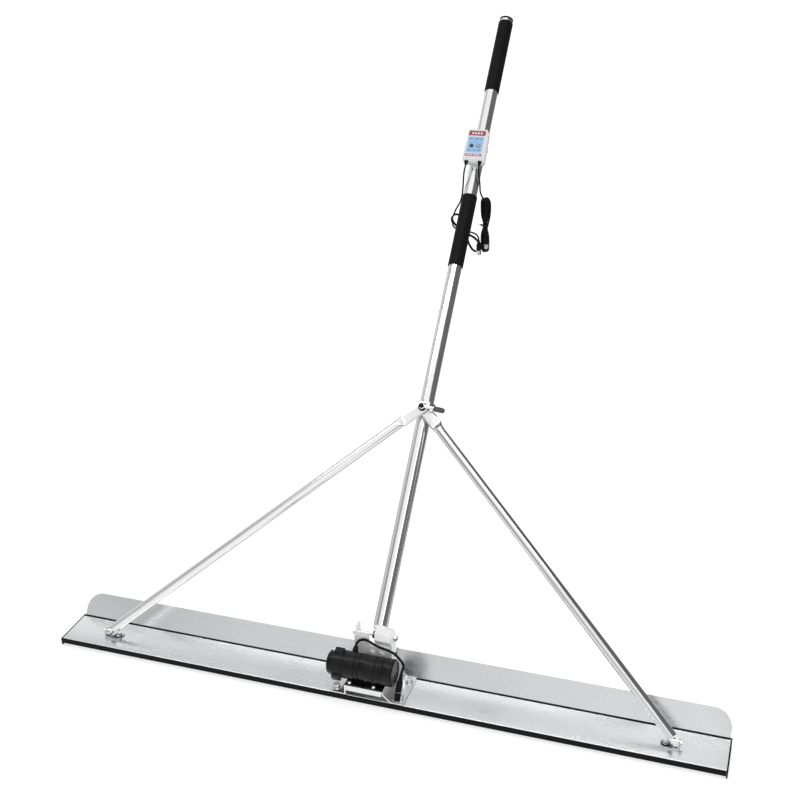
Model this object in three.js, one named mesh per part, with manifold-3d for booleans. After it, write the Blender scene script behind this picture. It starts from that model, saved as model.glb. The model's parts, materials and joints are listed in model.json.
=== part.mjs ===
// Hand-held electric power screed: a 1.5 m folded steel blade, shaken by a vibration motor on a
// bridge bracket, and steered by a long leaning pole that two braces tie to the blade's ends.
// Millimetres. +X runs along the blade, +Y away from the wet concrete towards the operator, +Z up.
// The origin is the centre of the blade's sole, on the concrete.

import * as THREE from 'three';
import { mergeVertices } from 'three/addons/utils/BufferGeometryUtils.js';
import Module from 'manifold-3d';

const wasm = await Module();
wasm.setup();

// ---- driving dimensions ---------------------------------------------------------------------

const GAP = 0.3; // clearance between touching pieces

const BLADE_LENGTH = 1500;
const BLADE_DEPTH = 104; // front edge to the rear edge of the top plate
const BLADE_HEIGHT = 17; // sole to top plate
const SHEET = 1.5; // blade sheet thickness
const FLANGE_BACK = 30; // how far the rear flange leans back above the top plate
const FLANGE_RISE = 44; // how far it rises above the top plate
const FLANGE_CORNER = 38; // corner radius at both ends of the flange
const STRIP_DEPTH = 3; // thickness of the front wear strip
const STRIP_LOW = 5; // the strip covers the upper part of the blade's front wall
const STRIP_HIGH = 16.5;
const END_CAP = 3; // thickness of the end caps
const SEAM_GAP = 8; // slot between the top plate and the flange
const HEM = 5; // how far the top plate's rear edge is folded down

const BRIDGE_HALF = 84; // half length of the motor bridge
const BRIDGE_LEFT = -48; // left end of the raised platform
const BRIDGE_RIGHT = 36; // right end of the raised platform
const BRIDGE_TOP = 42.2; // height of the platform
const BRIDGE_SHEET = 3;
const BRIDGE_FRONT = -50;
const BRIDGE_REAR = 45;
const BRIDGE_LIP = 13; // height of the folded front lip
const BRIDGE_BOLTS = [
  [-73, -30],
  [-73, 31],
  [71, -30],
  [71, 31],
];

const MOTOR_Y = -18.5; // motor axis
const MOTOR_Z = 72.5;
const MOTOR_RADIUS = 28.6;
const MOTOR_LEFT = -92; // ends of the motor
const MOTOR_RIGHT = 57.5;
const BARREL_LEFT = -54; // ends of the banded barrel
const BARREL_RIGHT = 27;
const SHAFT_RADIUS = 5;
const MOTOR_FOOT = 4; // thickness of the feet
const FOOT_LEFT = -44;
const FOOT_RIGHT = 28;
const FOOT_REACH = 31; // from the motor's axis to the outer edges of its feet
const FOOT_BOLT = 4.8;
const FOOT_BOLT_X = [-37, 17.5];
const FOOT_BOLT_Y = -44.3;
const BARREL_BAND = 1.1; // how far the barrel's bands stand out between the grooves
const BARREL_WALL = 2.3;
const GROOVES = [-29, -19, 17]; // left edges of the grooves round the barrel
const CAP_GROOVE = 33;
const LUG_LEFT = -76; // ends of the left bell's through-bolt lugs
const LUG_RIGHT = -56;
const BEARING_RADIUS = 11;
const ROTOR_RADIUS = 16.5;
const WEIGHT_RADIUS = 19.5;
const CAP_BORE = 23.3; // space for the spinning weights inside the end caps
const GLAND_X = -40; // cable gland on the upper rear of the barrel
const GLAND_TURN = -Math.PI / 4;

const PIVOT_Y = 44.5; // axis on which the pole tilts
const PIVOT_Z = 115.2;
const LEAN = THREE.MathUtils.degToRad(43.3); // pole's lean back from the vertical
const EAR_LEFT = -50; // outer faces of the tilt bracket's ears
const EAR_RIGHT = 34.5;
const EAR_SHEET = 3;
const WEB_Y = 27; // front face of the tilt bracket's web
const WEB_TOP = 95;
const WEB_SHOULDER = -16; // left of this the web rises to the left ear's crown
const WEB_CROWN = 128;
const YOKE_LEFT = -4;
const YOKE_RIGHT = 31;
const YOKE_RADIUS = 19.5;
const NECK_START = 12; // the pole foot's neck, from the tilt axis
const LEFT_CROWN = [50, 127, 9.5]; // y, z and radius of the rounded top of the left ear
const RIGHT_CROWN = [PIVOT_Y, PIVOT_Z, 13];
const LOCK_NUT = 9.5;
const PIVOT_BOLT = 4;
const TILT_BOLT_X = [-10, 12];
const TILT_BOLT_Z = 82;
const RUNNING_FIT = 0.12; // radial play between a turning piece and its pin

const POLE_RADIUS = 16;
const POLE_WALL = 1.5;
const POLE_START = 20; // distances along the pole, measured from the tilt axis
const POLE_END = 1558;
const LOWER_GRIP = [876, 1062];
const UPPER_GRIP = [1351, 1551];
const GRIP_RADIUS = 18.3;

const JUNCTION = 514; // the clamp that ties the braces to the pole
const CLAMP_RADIUS = 20.5;
const CLAMP_HEIGHT = 34;
const CLAMP_FACE = 20; // the clamp's flat front, in front of the pole's axis
const JUNCTION_BOLT = 4;
const LEVER_LENGTH = 50; // from the bolt to the centre of the rounded end
const LEVER_NECK = 30;
const LEVER_TURN = THREE.MathUtils.degToRad(-6);

const BRACE_RADIUS = 11;
const BRACE_WALL = 1.5;
const FLAT_HALF = 14; // half width of a brace's flattened end
const FLAT_THICK = 4;
const FLAT_LENGTH = 50; // from the junction bolt to the start of the flat
const SQUASH_LENGTH = 18; // from the flat to the round tube
const BRACE_FLAT_FRONT = 28.3; // middle planes of the stacked flattened ends
const BRACE_FLAT_REAR = 23.4;
const BRACE_PIVOT = new THREE.Vector3(644, -10, 30); // right brace's pivot, mirrored on the left
const TUBE_CLEAR = 11; // brace pivot to the cut end of the tube
const EYE_HALF = 5; // half width of the eye on the pivot
const EYE_RADIUS = 8;
const PIVOT_PIN = 3;
const BRACE_HOLE = 5.5; // loose hole for the junction bolt
const LUG_SHEET = 3;
const LUG_SCREW_X = 624;
const LUG_SCREW_Y = -8;

const BOX_START = 1139; // controller, along the pole
const BOX_HEIGHT = 81;
const BOX_TOP_HALF = 23;
const BOX_BOTTOM_HALF = 25.5;
const BOX_FRONT = 44; // controller's front face, in front of the pole's axis
const BOX_SPLIT = 27;
const BOX_BACK = 13;
const BOX_WALL = 2.5;
const BUTTON_RADIUS = 4.4;
const BUTTON_X = 8.5;
const BUTTON_Z = 36; // above the controller's lower end
const BUTTON_PROUD = 2.4;
const LEAD_EXIT_X = 16.5;
const LEAD_EXIT_DEPTH = 33;

const MOTOR_LEAD = 5.5; // cord diameters
const BOX_LEAD = 4;

// ---- materials ------------------------------------------------------------------------------

function finish(color, roughness, metalness) {
  return () => new THREE.MeshStandardMaterial({ color, roughness, metalness });
}

const stainless = finish(0xd3d5d6, 0.28, 1);
const brightSteel = finish(0xe2e3e3, 0.2, 1);
const zincSteel = finish(0xb9bcbd, 0.35, 1);
const castAlloy = finish(0xcfd1d1, 0.5, 0.8);
const darkSteel = finish(0x3a3c3e, 0.45, 0.9);
const blackPaint = finish(0x141516, 0.42, 0.2);
const blackPlastic = finish(0x1b1c1d, 0.55, 0);
const blackRubber = finish(0x151515, 0.85, 0);
const cordJacket = finish(0x121212, 0.6, 0);
const boxPlastic = finish(0xd9dadb, 0.5, 0);
const buttonDark = finish(0x2b3a55, 0.5, 0);
const buttonGrey = finish(0x9aa3ad, 0.5, 0);
const copperIron = finish(0x7d6a58, 0.5, 0.8);

// ---- geometry helpers -----------------------------------------------------------------------

// A closed, outward-facing copy of a geometry, with shared vertices and no empty triangles.
function closed(geometry) {
  const bare = geometry.index ? geometry.toNonIndexed() : geometry.clone();
  bare.deleteAttribute('normal');
  bare.deleteAttribute('uv');
  const merged = mergeVertices(bare, 1e-3);
  const corner = merged.index.array;
  const kept = [];
  let volume = 0;
  const a = new THREE.Vector3();
  const b = new THREE.Vector3();
  const c = new THREE.Vector3();
  for (let i = 0; i < corner.length; i += 3) {
    const [p, q, r] = [corner[i], corner[i + 1], corner[i + 2]];
    if (p === q || q === r || r === p) continue;
    kept.push([p, q, r]);
    a.fromBufferAttribute(merged.attributes.position, p);
    b.fromBufferAttribute(merged.attributes.position, q);
    c.fromBufferAttribute(merged.attributes.position, r);
    volume += a.dot(b.cross(c));
  }
  const triangles = volume < 0 ? kept.map(([p, q, r]) => [p, r, q]) : kept;
  merged.setIndex(triangles.flat());
  return merged;
}

function toManifold(geometry) {
  const tidy = closed(geometry);
  const vertProperties = new Float32Array(tidy.attributes.position.array);
  const triVerts = new Uint32Array(tidy.index.array);
  return new wasm.Manifold(new wasm.Mesh({ numProp: 3, vertProperties, triVerts }));
}

function toGeometry(manifold) {
  const mesh = manifold.getMesh();
  const geometry = new THREE.BufferGeometry();
  geometry.setAttribute('position', new THREE.BufferAttribute(new Float32Array(mesh.vertProperties), 3));
  geometry.setIndex(new THREE.BufferAttribute(new Uint32Array(mesh.triVerts), 1));
  return geometry;
}

function join(first, ...others) {
  return toGeometry(others.reduce((sum, other) => sum.add(toManifold(other)), toManifold(first)));
}

function cut(first, ...others) {
  return toGeometry(others.reduce((rest, other) => rest.subtract(toManifold(other)), toManifold(first)));
}

function box(x0, x1, y0, y1, z0, z1) {
  const geometry = new THREE.BoxGeometry(x1 - x0, y1 - y0, z1 - z0);
  return geometry.translate((x0 + x1) / 2, (y0 + y1) / 2, (z0 + z1) / 2);
}

const AXES = {
  x: (geometry) => geometry.rotateZ(-Math.PI / 2),
  y: (geometry) => geometry,
  z: (geometry) => geometry.rotateX(Math.PI / 2),
};

// A cylinder from one end to the other along an axis; `at` holds the other two coordinates in XYZ order.
function rod(axis, at, from, to, radius, sides = 16) {
  const geometry = AXES[axis](new THREE.CylinderGeometry(radius, radius, to - from, sides));
  return moveTo(geometry, axis, at, (from + to) / 2);
}

// A turned piece: [radius, distance along the axis] points, closed on the axis or on themselves.
function turned(axis, at, points, sides = 24) {
  const profile = points.map(([radius, along]) => new THREE.Vector2(radius, along));
  return moveTo(AXES[axis](new THREE.LatheGeometry(profile, sides)), axis, at, 0);
}

function moveTo(geometry, axis, [p, q], along) {
  if (axis === 'x') return geometry.translate(along, p, q);
  if (axis === 'y') return geometry.translate(p, along, q);
  return geometry.translate(p, q, along);
}

// A ring from one end to the other, with a small chamfer on its outer edges.
function ring(axis, at, from, to, inner, outer, chamfer = 0.5, sides = 24) {
  const points = [
    [inner, from],
    [outer - chamfer, from],
    [outer, from + chamfer],
    [outer, to - chamfer],
    [outer - chamfer, to],
    [inner, to],
    [inner, from],
  ];
  return turned(axis, at, points, sides);
}

function outline(points) {
  return new THREE.Shape(points.map(([p, q]) => new THREE.Vector2(p, q)));
}

// A YZ outline, extruded along X.
function alongX(shape, from, to, curveSegments = 6) {
  const depth = to - from;
  const geometry = new THREE.ExtrudeGeometry(shape, { depth, bevelEnabled: false, curveSegments });
  const basis = new THREE.Matrix4().makeBasis(
    new THREE.Vector3(0, 1, 0),
    new THREE.Vector3(0, 0, 1),
    new THREE.Vector3(1, 0, 0),
  );
  return geometry.applyMatrix4(basis).translate(from, 0, 0);
}

// An XZ outline, extruded along Y.
function alongY(shape, from, to, curveSegments = 6) {
  const depth = to - from;
  const geometry = new THREE.ExtrudeGeometry(shape, { depth, bevelEnabled: false, curveSegments });
  return geometry.rotateX(Math.PI / 2).translate(0, to, 0);
}

// An XY outline, extruded along Z.
function alongZ(shape, from, to) {
  const geometry = new THREE.ExtrudeGeometry(shape, { depth: to - from, bevelEnabled: false });
  return geometry.translate(0, 0, from);
}

// A sheet's outline: the path of its outer face, and that path offset inwards by the thickness.
function folded(path, thickness) {
  const inner = path.map((point, i) => {
    const before = path[Math.max(i - 1, 0)];
    const after = path[Math.min(i + 1, path.length - 1)];
    const into = direction(before, point) ?? direction(point, after);
    const out = direction(point, after) ?? into;
    const normal = [-(into[1] + out[1]), into[0] + out[0]];
    const scale = thickness / (normal[0] * -into[1] + normal[1] * into[0]);
    return [point[0] + normal[0] * scale, point[1] + normal[1] * scale];
  });
  return outline([...path, ...inner.reverse()]);
}

function direction(from, to) {
  const length = Math.hypot(to[0] - from[0], to[1] - from[1]);
  return length > 0 ? [(to[0] - from[0]) / length, (to[1] - from[1]) / length] : null;
}

// A solid through rings of points that all have the same count, closed with flat ends.
function loft(rings) {
  const count = rings[0].length;
  const index = [];
  rings.slice(1).forEach((unused, ringNumber) => {
    for (let i = 0; i < count; i += 1) {
      const a = ringNumber * count + i;
      const b = ringNumber * count + ((i + 1) % count);
      index.push(a, b, b + count, a, b + count, a + count);
    }
  });
  const last = (rings.length - 1) * count;
  for (let i = 1; i < count - 1; i += 1) {
    index.push(0, i + 1, i, last, last + i, last + i + 1);
  }
  const geometry = new THREE.BufferGeometry();
  const flat = rings.flat().flatMap((point) => [point.x, point.y, point.z]);
  geometry.setAttribute('position', new THREE.Float32BufferAttribute(flat, 3));
  geometry.setIndex(index);
  return closed(geometry);
}

function cordTube(points, diameter, sides) {
  const vectors = points.map(([x, y, z]) => new THREE.Vector3(x, y, z));
  const path = new THREE.CatmullRomCurve3(vectors, false, 'centripetal');
  const circle = new THREE.Shape();
  circle.absarc(0, 0, diameter / 2, 0, 2 * Math.PI);
  const section = new THREE.Shape(circle.getPoints(sides).slice(0, sides));
  const steps = Math.min(80, Math.ceil(path.getLength() / (2.5 * diameter)));
  return new THREE.ExtrudeGeometry(section, { steps, extrudePath: path });
}

// ---- assembly -------------------------------------------------------------------------------

const screed = new THREE.Group();

const handle = new THREE.Group(); // +Z runs up the pole from the tilt axis, -Y is its front
handle.position.set(0, PIVOT_Y, PIVOT_Z);
handle.rotation.x = -LEAN;
screed.add(handle);
handle.updateMatrixWorld(true);

function add(parent, name, geometry, material) {
  const mesh = new THREE.Mesh(closed(geometry), material());
  mesh.name = name;
  parent.add(mesh);
  return mesh;
}

function sides(build) {
  build('left', -1);
  build('right', 1);
}

// ---- blade ----------------------------------------------------------------------------------

const FRONT = -BLADE_DEPTH / 2;
const REAR = BLADE_DEPTH / 2;
const SHELL_HALF = BLADE_LENGTH / 2 - END_CAP - GAP;
const FLANGE_SLOPE = FLANGE_BACK / FLANGE_RISE;
const FLANGE_TOP = BLADE_HEIGHT + FLANGE_RISE;
const BEND_Y = REAR - BLADE_HEIGHT * FLANGE_SLOPE; // where the sole turns up into the flange
const PLATE_REAR = REAR - SEAM_GAP;
const FLANGE_TILT = Math.atan(FLANGE_SLOPE);

function bladeShell() {
  const front = FRONT + STRIP_DEPTH + GAP;
  const path = [
    [PLATE_REAR, BLADE_HEIGHT - HEM],
    [PLATE_REAR, BLADE_HEIGHT],
    [front, BLADE_HEIGHT],
    [front, 0],
    [BEND_Y, 0],
    [REAR + FLANGE_BACK, FLANGE_TOP],
  ];
  const sheet = alongX(folded(path, SHEET), -SHELL_HALF, SHELL_HALF);
  return cut(sheet, flangeCorner(-1), flangeCorner(1));
}

// What is cut away to round one upper corner of the flange, at right angles to the flange.
function flangeCorner(side) {
  const radius = FLANGE_CORNER;
  const shape = new THREE.Shape();
  shape.moveTo(0, -radius);
  shape.absarc(-radius, -radius, radius, 0, Math.PI / 2, false);
  shape.lineTo(-radius, 10);
  shape.lineTo(10, 10);
  shape.lineTo(10, -radius);
  const geometry = new THREE.ExtrudeGeometry(shape, { depth: 20, bevelEnabled: false, curveSegments: 8 });
  const tool = new THREE.Matrix4().makeRotationX(Math.PI / 2 - FLANGE_TILT);
  geometry.translate(0, 0, -10).applyMatrix4(tool);
  if (side < 0) geometry.scale(-1, 1, 1);
  return geometry.translate(side * SHELL_HALF, REAR + FLANGE_BACK, FLANGE_TOP);
}

function seamStrip() {
  const bottom = BLADE_HEIGHT - 8;
  const top = BLADE_HEIGHT - 0.2;
  const slopeAt = (z) => BEND_Y + z * FLANGE_SLOPE - SHEET / Math.cos(FLANGE_TILT) - GAP;
  const shape = outline([
    [PLATE_REAR + GAP, bottom + 3],
    [slopeAt(bottom + 3), bottom + 3],
    [slopeAt(top), top],
    [PLATE_REAR + GAP, top],
  ]);
  return alongX(shape, -SHELL_HALF, SHELL_HALF);
}

function endCap() {
  const shape = outline([
    [FRONT, 0],
    [BEND_Y, 0],
    [REAR - 1, BLADE_HEIGHT - 1],
    [REAR - 3, BLADE_HEIGHT + 0.2],
    [FRONT, BLADE_HEIGHT + 0.2],
  ]);
  return alongX(shape, BLADE_LENGTH / 2 - END_CAP, BLADE_LENGTH / 2);
}

add(screed, 'blade_shell', bladeShell(), stainless);
const frontStrip = box(-SHELL_HALF, SHELL_HALF, FRONT, FRONT + STRIP_DEPTH, STRIP_LOW, STRIP_HIGH);
add(screed, 'front_strip', frontStrip, blackPaint);
add(screed, 'seam_strip', seamStrip(), blackRubber);
sides((side, sign) => add(screed, `end_cap_${side}`, endCap().scale(sign, 1, 1), blackPlastic));

// ---- motor bridge ---------------------------------------------------------------------------

function motorBridge() {
  const floor = BLADE_HEIGHT + GAP;
  const path = [
    [BRIDGE_HALF, floor],
    [BRIDGE_RIGHT + 23, floor],
    [BRIDGE_RIGHT + 16, floor + 4],
    [BRIDGE_RIGHT + 3, BRIDGE_TOP - 9],
    [BRIDGE_RIGHT, BRIDGE_TOP - BRIDGE_SHEET],
    [BRIDGE_LEFT + BRIDGE_SHEET, BRIDGE_TOP - BRIDGE_SHEET],
    [BRIDGE_LEFT + BRIDGE_SHEET, floor],
    [-BRIDGE_HALF, floor],
  ];
  const arch = alongY(folded(path.reverse(), BRIDGE_SHEET), BRIDGE_FRONT, BRIDGE_REAR);
  const lipRear = BRIDGE_FRONT + BRIDGE_SHEET;
  const lip = box(BRIDGE_LEFT, BRIDGE_RIGHT, BRIDGE_FRONT, lipRear, BRIDGE_TOP - BRIDGE_LIP, BRIDGE_TOP);
  const holes = BRIDGE_BOLTS.map(([x, y]) => rod('z', [x, y], 0, 40, 4.3, 12));
  return cut(join(arch, lip), ...holes);
}

// A hexagon-head bolt whose washer stands on the XY plane and whose stem points down.
function hexBolt(size, shank) {
  const washerHeight = 1.4;
  const axis = [0, 0];
  const washer = rod('z', axis, 0, washerHeight, size * 1.05, 18);
  const head = rod('z', axis, washerHeight - 0.2, washerHeight + size * 0.65, size * 0.9, 6);
  const stem = rod('z', axis, -shank, washerHeight, size / 2, 12);
  return join(washer, head, stem);
}

add(screed, 'motor_bridge', motorBridge(), brightSteel);
BRIDGE_BOLTS.forEach(([x, y], i) => {
  const bolt = hexBolt(8, BRIDGE_SHEET).translate(x, y, BLADE_HEIGHT + GAP + BRIDGE_SHEET + GAP);
  add(screed, `bridge_bolt_${i + 1}`, bolt, zincSteel);
});

// ---- vibration motor ------------------------------------------------------------------------

const MOTOR_AXIS = [MOTOR_Y, MOTOR_Z];
const FOOT_FLOOR = BRIDGE_TOP + GAP;

function motorHousing() {
  const r = MOTOR_RADIUS;
  const band = BARREL_BAND;
  const inner = r - BARREL_WALL;
  const points = [[inner, BARREL_LEFT + GAP], [r + band, BARREL_LEFT + GAP]];
  for (const x of GROOVES) {
    points.push([r + band, x], [r - 0.3, x + 0.7], [r - 0.3, x + 2.6], [r + band, x + 3.3]);
  }
  points.push([r + band, BARREL_RIGHT], [inner, BARREL_RIGHT], [inner, BARREL_LEFT + GAP]);
  const barrel = turned('x', MOTOR_AXIS, points, 36);
  const bore = rod('x', MOTOR_AXIS, FOOT_LEFT - 1, BARREL_RIGHT + 1, r - 0.8, 36);
  const capSpace = rod('x', MOTOR_AXIS, BARREL_RIGHT, FOOT_RIGHT + 1, r + band + GAP, 36);
  const top = FOOT_FLOOR + MOTOR_FOOT;
  const feet = [-1, 1].map((side) => {
    const edge = MOTOR_Y + side * FOOT_REACH;
    const [front, rear] = [Math.min(edge, edge - side * 23), Math.max(edge, edge - side * 23)];
    return box(FOOT_LEFT, FOOT_RIGHT, front, rear, FOOT_FLOOR, top);
  });
  const webs = [-1, 1].map((side) => {
    const y = MOTOR_Y + side * 14.8;
    return box(FOOT_LEFT + 2, BARREL_RIGHT - 1, y - 5.2, y + 5.2, top - 1, MOTOR_Z - 10);
  });
  const notch = outline([[-9, FOOT_BOLT_Y - 8], [0, FOOT_BOLT_Y - 8], [-4.5, FOOT_BOLT_Y + 5]]);
  const holes = [
    ...FOOT_BOLT_X.map((x) => rod('z', [x, FOOT_BOLT_Y], FOOT_FLOOR - 1, top + 1, FOOT_BOLT / 2 + GAP, 12)),
    alongZ(notch, FOOT_FLOOR - 1, top + 1),
  ];
  const stand = [...feet, ...webs].map((part) => cut(part, bore, capSpace, ...holes));
  return join(barrel, ...stand);
}

// The left end bell: a cup with a bearing seat, and a ring of through-bolt lugs.
function leftCap() {
  const r = MOTOR_RADIUS - 1.5;
  const seat = BEARING_RADIUS + GAP;
  const wall = BARREL_LEFT - 7.5;
  const cup = turned('x', MOTOR_AXIS, [
    [0, MOTOR_LEFT],
    [r - 6, MOTOR_LEFT],
    [r - 2, MOTOR_LEFT + 2.5],
    [r, MOTOR_LEFT + 7],
    [r, BARREL_LEFT],
    [seat, BARREL_LEFT],
    [seat, wall],
    [CAP_BORE - 1.5, wall],
    [CAP_BORE - 1.5, MOTOR_LEFT + 4],
    [0, MOTOR_LEFT + 4],
  ], 32);
  const hollow = rod('x', MOTOR_AXIS, MOTOR_LEFT + 4, BARREL_LEFT + 1, CAP_BORE, 24);
  const lugs = [90, 210, 330].map((angle) => {
    const lug = box(LUG_LEFT, LUG_RIGHT, -7, 7, 18, MOTOR_RADIUS + 8);
    return cut(lug.rotateX(THREE.MathUtils.degToRad(angle - 90)).translate(0, ...MOTOR_AXIS), hollow);
  });
  const collar = ring('x', MOTOR_AXIS, LUG_LEFT - 1, BARREL_LEFT, r - 2, MOTOR_RADIUS + 1.2, 1, 32);
  return join(cup, collar, ...lugs);
}

function rightCap() {
  const r = MOTOR_RADIUS;
  const start = BARREL_RIGHT + GAP;
  const seat = BEARING_RADIUS + GAP;
  return turned('x', MOTOR_AXIS, [
    [seat, start],
    [r + BARREL_BAND, start],
    [r + BARREL_BAND, CAP_GROOVE],
    [r - 0.3, CAP_GROOVE + 0.7],
    [r - 0.3, CAP_GROOVE + 2.6],
    [r + BARREL_BAND, CAP_GROOVE + 3.3],
    [r + BARREL_BAND, MOTOR_RIGHT - 3],
    [r - 0.5, MOTOR_RIGHT],
    [r - 4, MOTOR_RIGHT],
    [r - 5, MOTOR_RIGHT - 1.5],
    [0, MOTOR_RIGHT - 1.5],
    [0, MOTOR_RIGHT - 5],
    [CAP_BORE, MOTOR_RIGHT - 5],
    [CAP_BORE, start + 8],
    [seat, start + 8],
    [seat, start],
  ], 32);
}

// A half-round weight that throws the shaft off balance.
function eccentricWeight(from, to) {
  const bore = SHAFT_RADIUS + GAP;
  const shape = new THREE.Shape();
  shape.absarc(0, 0, WEIGHT_RADIUS, Math.PI, 2 * Math.PI, false);
  shape.lineTo(9, 3);
  shape.absarc(0, 0, 9.5, 0.3, Math.PI - 0.3, false);
  const hole = new THREE.Path();
  hole.absarc(0, 0, bore, 0, 2 * Math.PI, true);
  shape.holes.push(hole);
  return alongX(shape, from, to, 10).translate(0, ...MOTOR_AXIS);
}

// The cable gland, pointing up and back.
function motorGland() {
  const body = turned('z', [0, 0], [
    [0, 0],
    [6.5, 0],
    [6.5, 5],
    [5.5, 6],
    [5.5, 9],
    [3.9, 13],
    [0, 13],
  ], 12);
  const placed = body.translate(0, 0, MOTOR_RADIUS + 0.6).rotateX(GLAND_TURN);
  const barrel = rod('x', [0, 0], -20, 20, MOTOR_RADIUS + BARREL_BAND + GAP, 32);
  return cut(placed, barrel).translate(GLAND_X, ...MOTOR_AXIS);
}

add(screed, 'motor_housing', motorHousing(), blackPaint);
add(screed, 'motor_cap_left', leftCap(), blackPaint);
add(screed, 'motor_cap_right', rightCap(), blackPaint);
add(screed, 'motor_gland', motorGland(), blackPlastic);
FOOT_BOLT_X.forEach((x, i) => {
  const bolt = hexBolt(FOOT_BOLT, MOTOR_FOOT).translate(x, FOOT_BOLT_Y, FOOT_FLOOR + MOTOR_FOOT + GAP);
  add(screed, `foot_bolt_${i + 1}`, bolt, brightSteel);
});

const STATOR_OUTER = MOTOR_RADIUS - BARREL_WALL - GAP;
const BEARING_BORE = SHAFT_RADIUS + RUNNING_FIT;
const stator = ring('x', MOTOR_AXIS, -48, 10, ROTOR_RADIUS + 0.6, STATOR_OUTER, 0.5, 32);
add(screed, 'stator', stator, copperIron);
[['left', BARREL_LEFT - 7.2], ['right', BARREL_RIGHT + 0.5]].forEach(([side, start]) => {
  const bearing = ring('x', MOTOR_AXIS, start, start + 7, BEARING_BORE, BEARING_RADIUS);
  add(screed, `bearing_${side}`, bearing, zincSteel);
});
add(screed, 'rotor_shaft', rod('x', MOTOR_AXIS, MOTOR_LEFT + 6, MOTOR_RIGHT - 6, SHAFT_RADIUS, 24), zincSteel);
add(screed, 'rotor_core', ring('x', MOTOR_AXIS, -46, 8, SHAFT_RADIUS + GAP, ROTOR_RADIUS), darkSteel);
add(screed, 'eccentric_weight_left', eccentricWeight(MOTOR_LEFT + 8, BARREL_LEFT - 11), darkSteel);
add(screed, 'eccentric_weight_right', eccentricWeight(BARREL_RIGHT + 10.5, MOTOR_RIGHT - 7), darkSteel);

// ---- tilt bracket and pole foot -------------------------------------------------------------

const PIVOT_AXIS = [PIVOT_Y, PIVOT_Z];

// A channel that stands on the bridge behind the motor; its ears carry the tilt axis.
function tiltBracket() {
  const floor = BRIDGE_TOP + GAP;
  const low = box(EAR_LEFT, EAR_RIGHT, WEB_Y, WEB_Y + EAR_SHEET, floor, WEB_TOP);
  const web = join(low, box(EAR_LEFT, WEB_SHOULDER, WEB_Y, WEB_Y + EAR_SHEET, floor, WEB_CROWN));
  const holes = TILT_BOLT_X.map((x) => rod('y', [x, TILT_BOLT_Z], WEB_Y - 1, WEB_Y + 5, 3.3, 12));
  const bolt = rod('x', PIVOT_AXIS, EAR_LEFT - 5, EAR_RIGHT + 5, PIVOT_BOLT + GAP, 16);
  const leftEar = ear(EAR_LEFT, LEFT_CROWN, WEB_CROWN);
  const rightEar = ear(EAR_RIGHT - EAR_SHEET, RIGHT_CROWN, WEB_TOP);
  return cut(join(web, leftEar, rightEar), bolt, ...holes);
}

function ear(x, [crownY, crownZ, crown], front) {
  const shape = new THREE.Shape();
  shape.moveTo(WEB_Y, BRIDGE_TOP + GAP);
  shape.lineTo(BRIDGE_REAR + 14, BRIDGE_TOP + GAP);
  shape.lineTo(crownY + crown, crownZ);
  shape.absarc(crownY, crownZ, crown, 0, Math.PI, false);
  shape.lineTo(WEB_Y, front);
  return alongX(shape, x, x + EAR_SHEET, 8);
}

// The foot casting: an octagonal knuckle on the tilt bolt, and a spigot up into the pole.
function poleYoke() {
  const knuckle = rod('x', [0, 0], YOKE_LEFT, YOKE_RIGHT, YOKE_RADIUS, 8);
  const neck = rod('z', [0, 0], NECK_START, POLE_START - GAP, POLE_RADIUS - 0.5, 20);
  const spigot = rod('z', [0, 0], NECK_START, POLE_START + 38, POLE_RADIUS - POLE_WALL - GAP, 20);
  const shaft = rod('x', [0, 0], YOKE_LEFT - 5, YOKE_RIGHT + 5, PIVOT_BOLT + RUNNING_FIT, 16);
  return cut(join(knuckle, neck, spigot), shaft);
}

function pivotBolt() {
  const shank = rod('x', PIVOT_AXIS, EAR_LEFT - 6, EAR_RIGHT + 9, PIVOT_BOLT, 16);
  const head = rod('x', PIVOT_AXIS, EAR_LEFT - 6.5, EAR_LEFT - GAP, 7.5, 6);
  return join(shank, head);
}

function pivotNut() {
  return cut(
    rod('x', PIVOT_AXIS, EAR_RIGHT + GAP, EAR_RIGHT + 7, 7.5, 6),
    rod('x', PIVOT_AXIS, EAR_RIGHT - 1, EAR_RIGHT + 9, PIVOT_BOLT + GAP, 16),
  );
}

add(screed, 'tilt_bracket', tiltBracket(), zincSteel);
TILT_BOLT_X.forEach((x, i) => {
  const bolt = hexBolt(6, EAR_SHEET + 3).rotateX(Math.PI / 2).translate(x, WEB_Y - GAP, TILT_BOLT_Z);
  add(screed, `tilt_bolt_${i + 1}`, bolt, brightSteel);
});
add(screed, 'pivot_bolt', pivotBolt(), zincSteel);
add(screed, 'pivot_nut', pivotNut(), zincSteel);
const NUT_END = YOKE_LEFT - GAP;
const lockNut = cut(
  rod('x', PIVOT_AXIS, NUT_END - 8, NUT_END, LOCK_NUT, 6),
  rod('x', PIVOT_AXIS, NUT_END - 9, NUT_END + 1, PIVOT_BOLT + GAP, 16),
);
add(screed, 'pivot_lock_nut', lockNut, darkSteel);
add(handle, 'pole_yoke', poleYoke(), castAlloy);

// ---- pole, grips and cap --------------------------------------------------------------------

function grip([from, to]) {
  const r = GRIP_RADIUS;
  const inner = POLE_RADIUS + GAP;
  return turned('z', [0, 0], [
    [inner, from],
    [r - 0.8, from],
    [r, from + 1.5],
    [r, to - 1.5],
    [r - 0.8, to],
    [inner, to],
    [inner, from],
  ], 28);
}

function poleCap() {
  const plug = POLE_RADIUS - POLE_WALL - GAP;
  return turned('z', [0, 0], [
    [0, POLE_END - 22],
    [plug - 1, POLE_END - 22],
    [plug, POLE_END - 20],
    [plug, POLE_END + GAP],
    [POLE_RADIUS + 1.2, POLE_END + GAP],
    [POLE_RADIUS + 1.2, POLE_END + 4],
    [POLE_RADIUS - 2, POLE_END + 6],
    [0, POLE_END + 6],
  ], 28);
}

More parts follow.
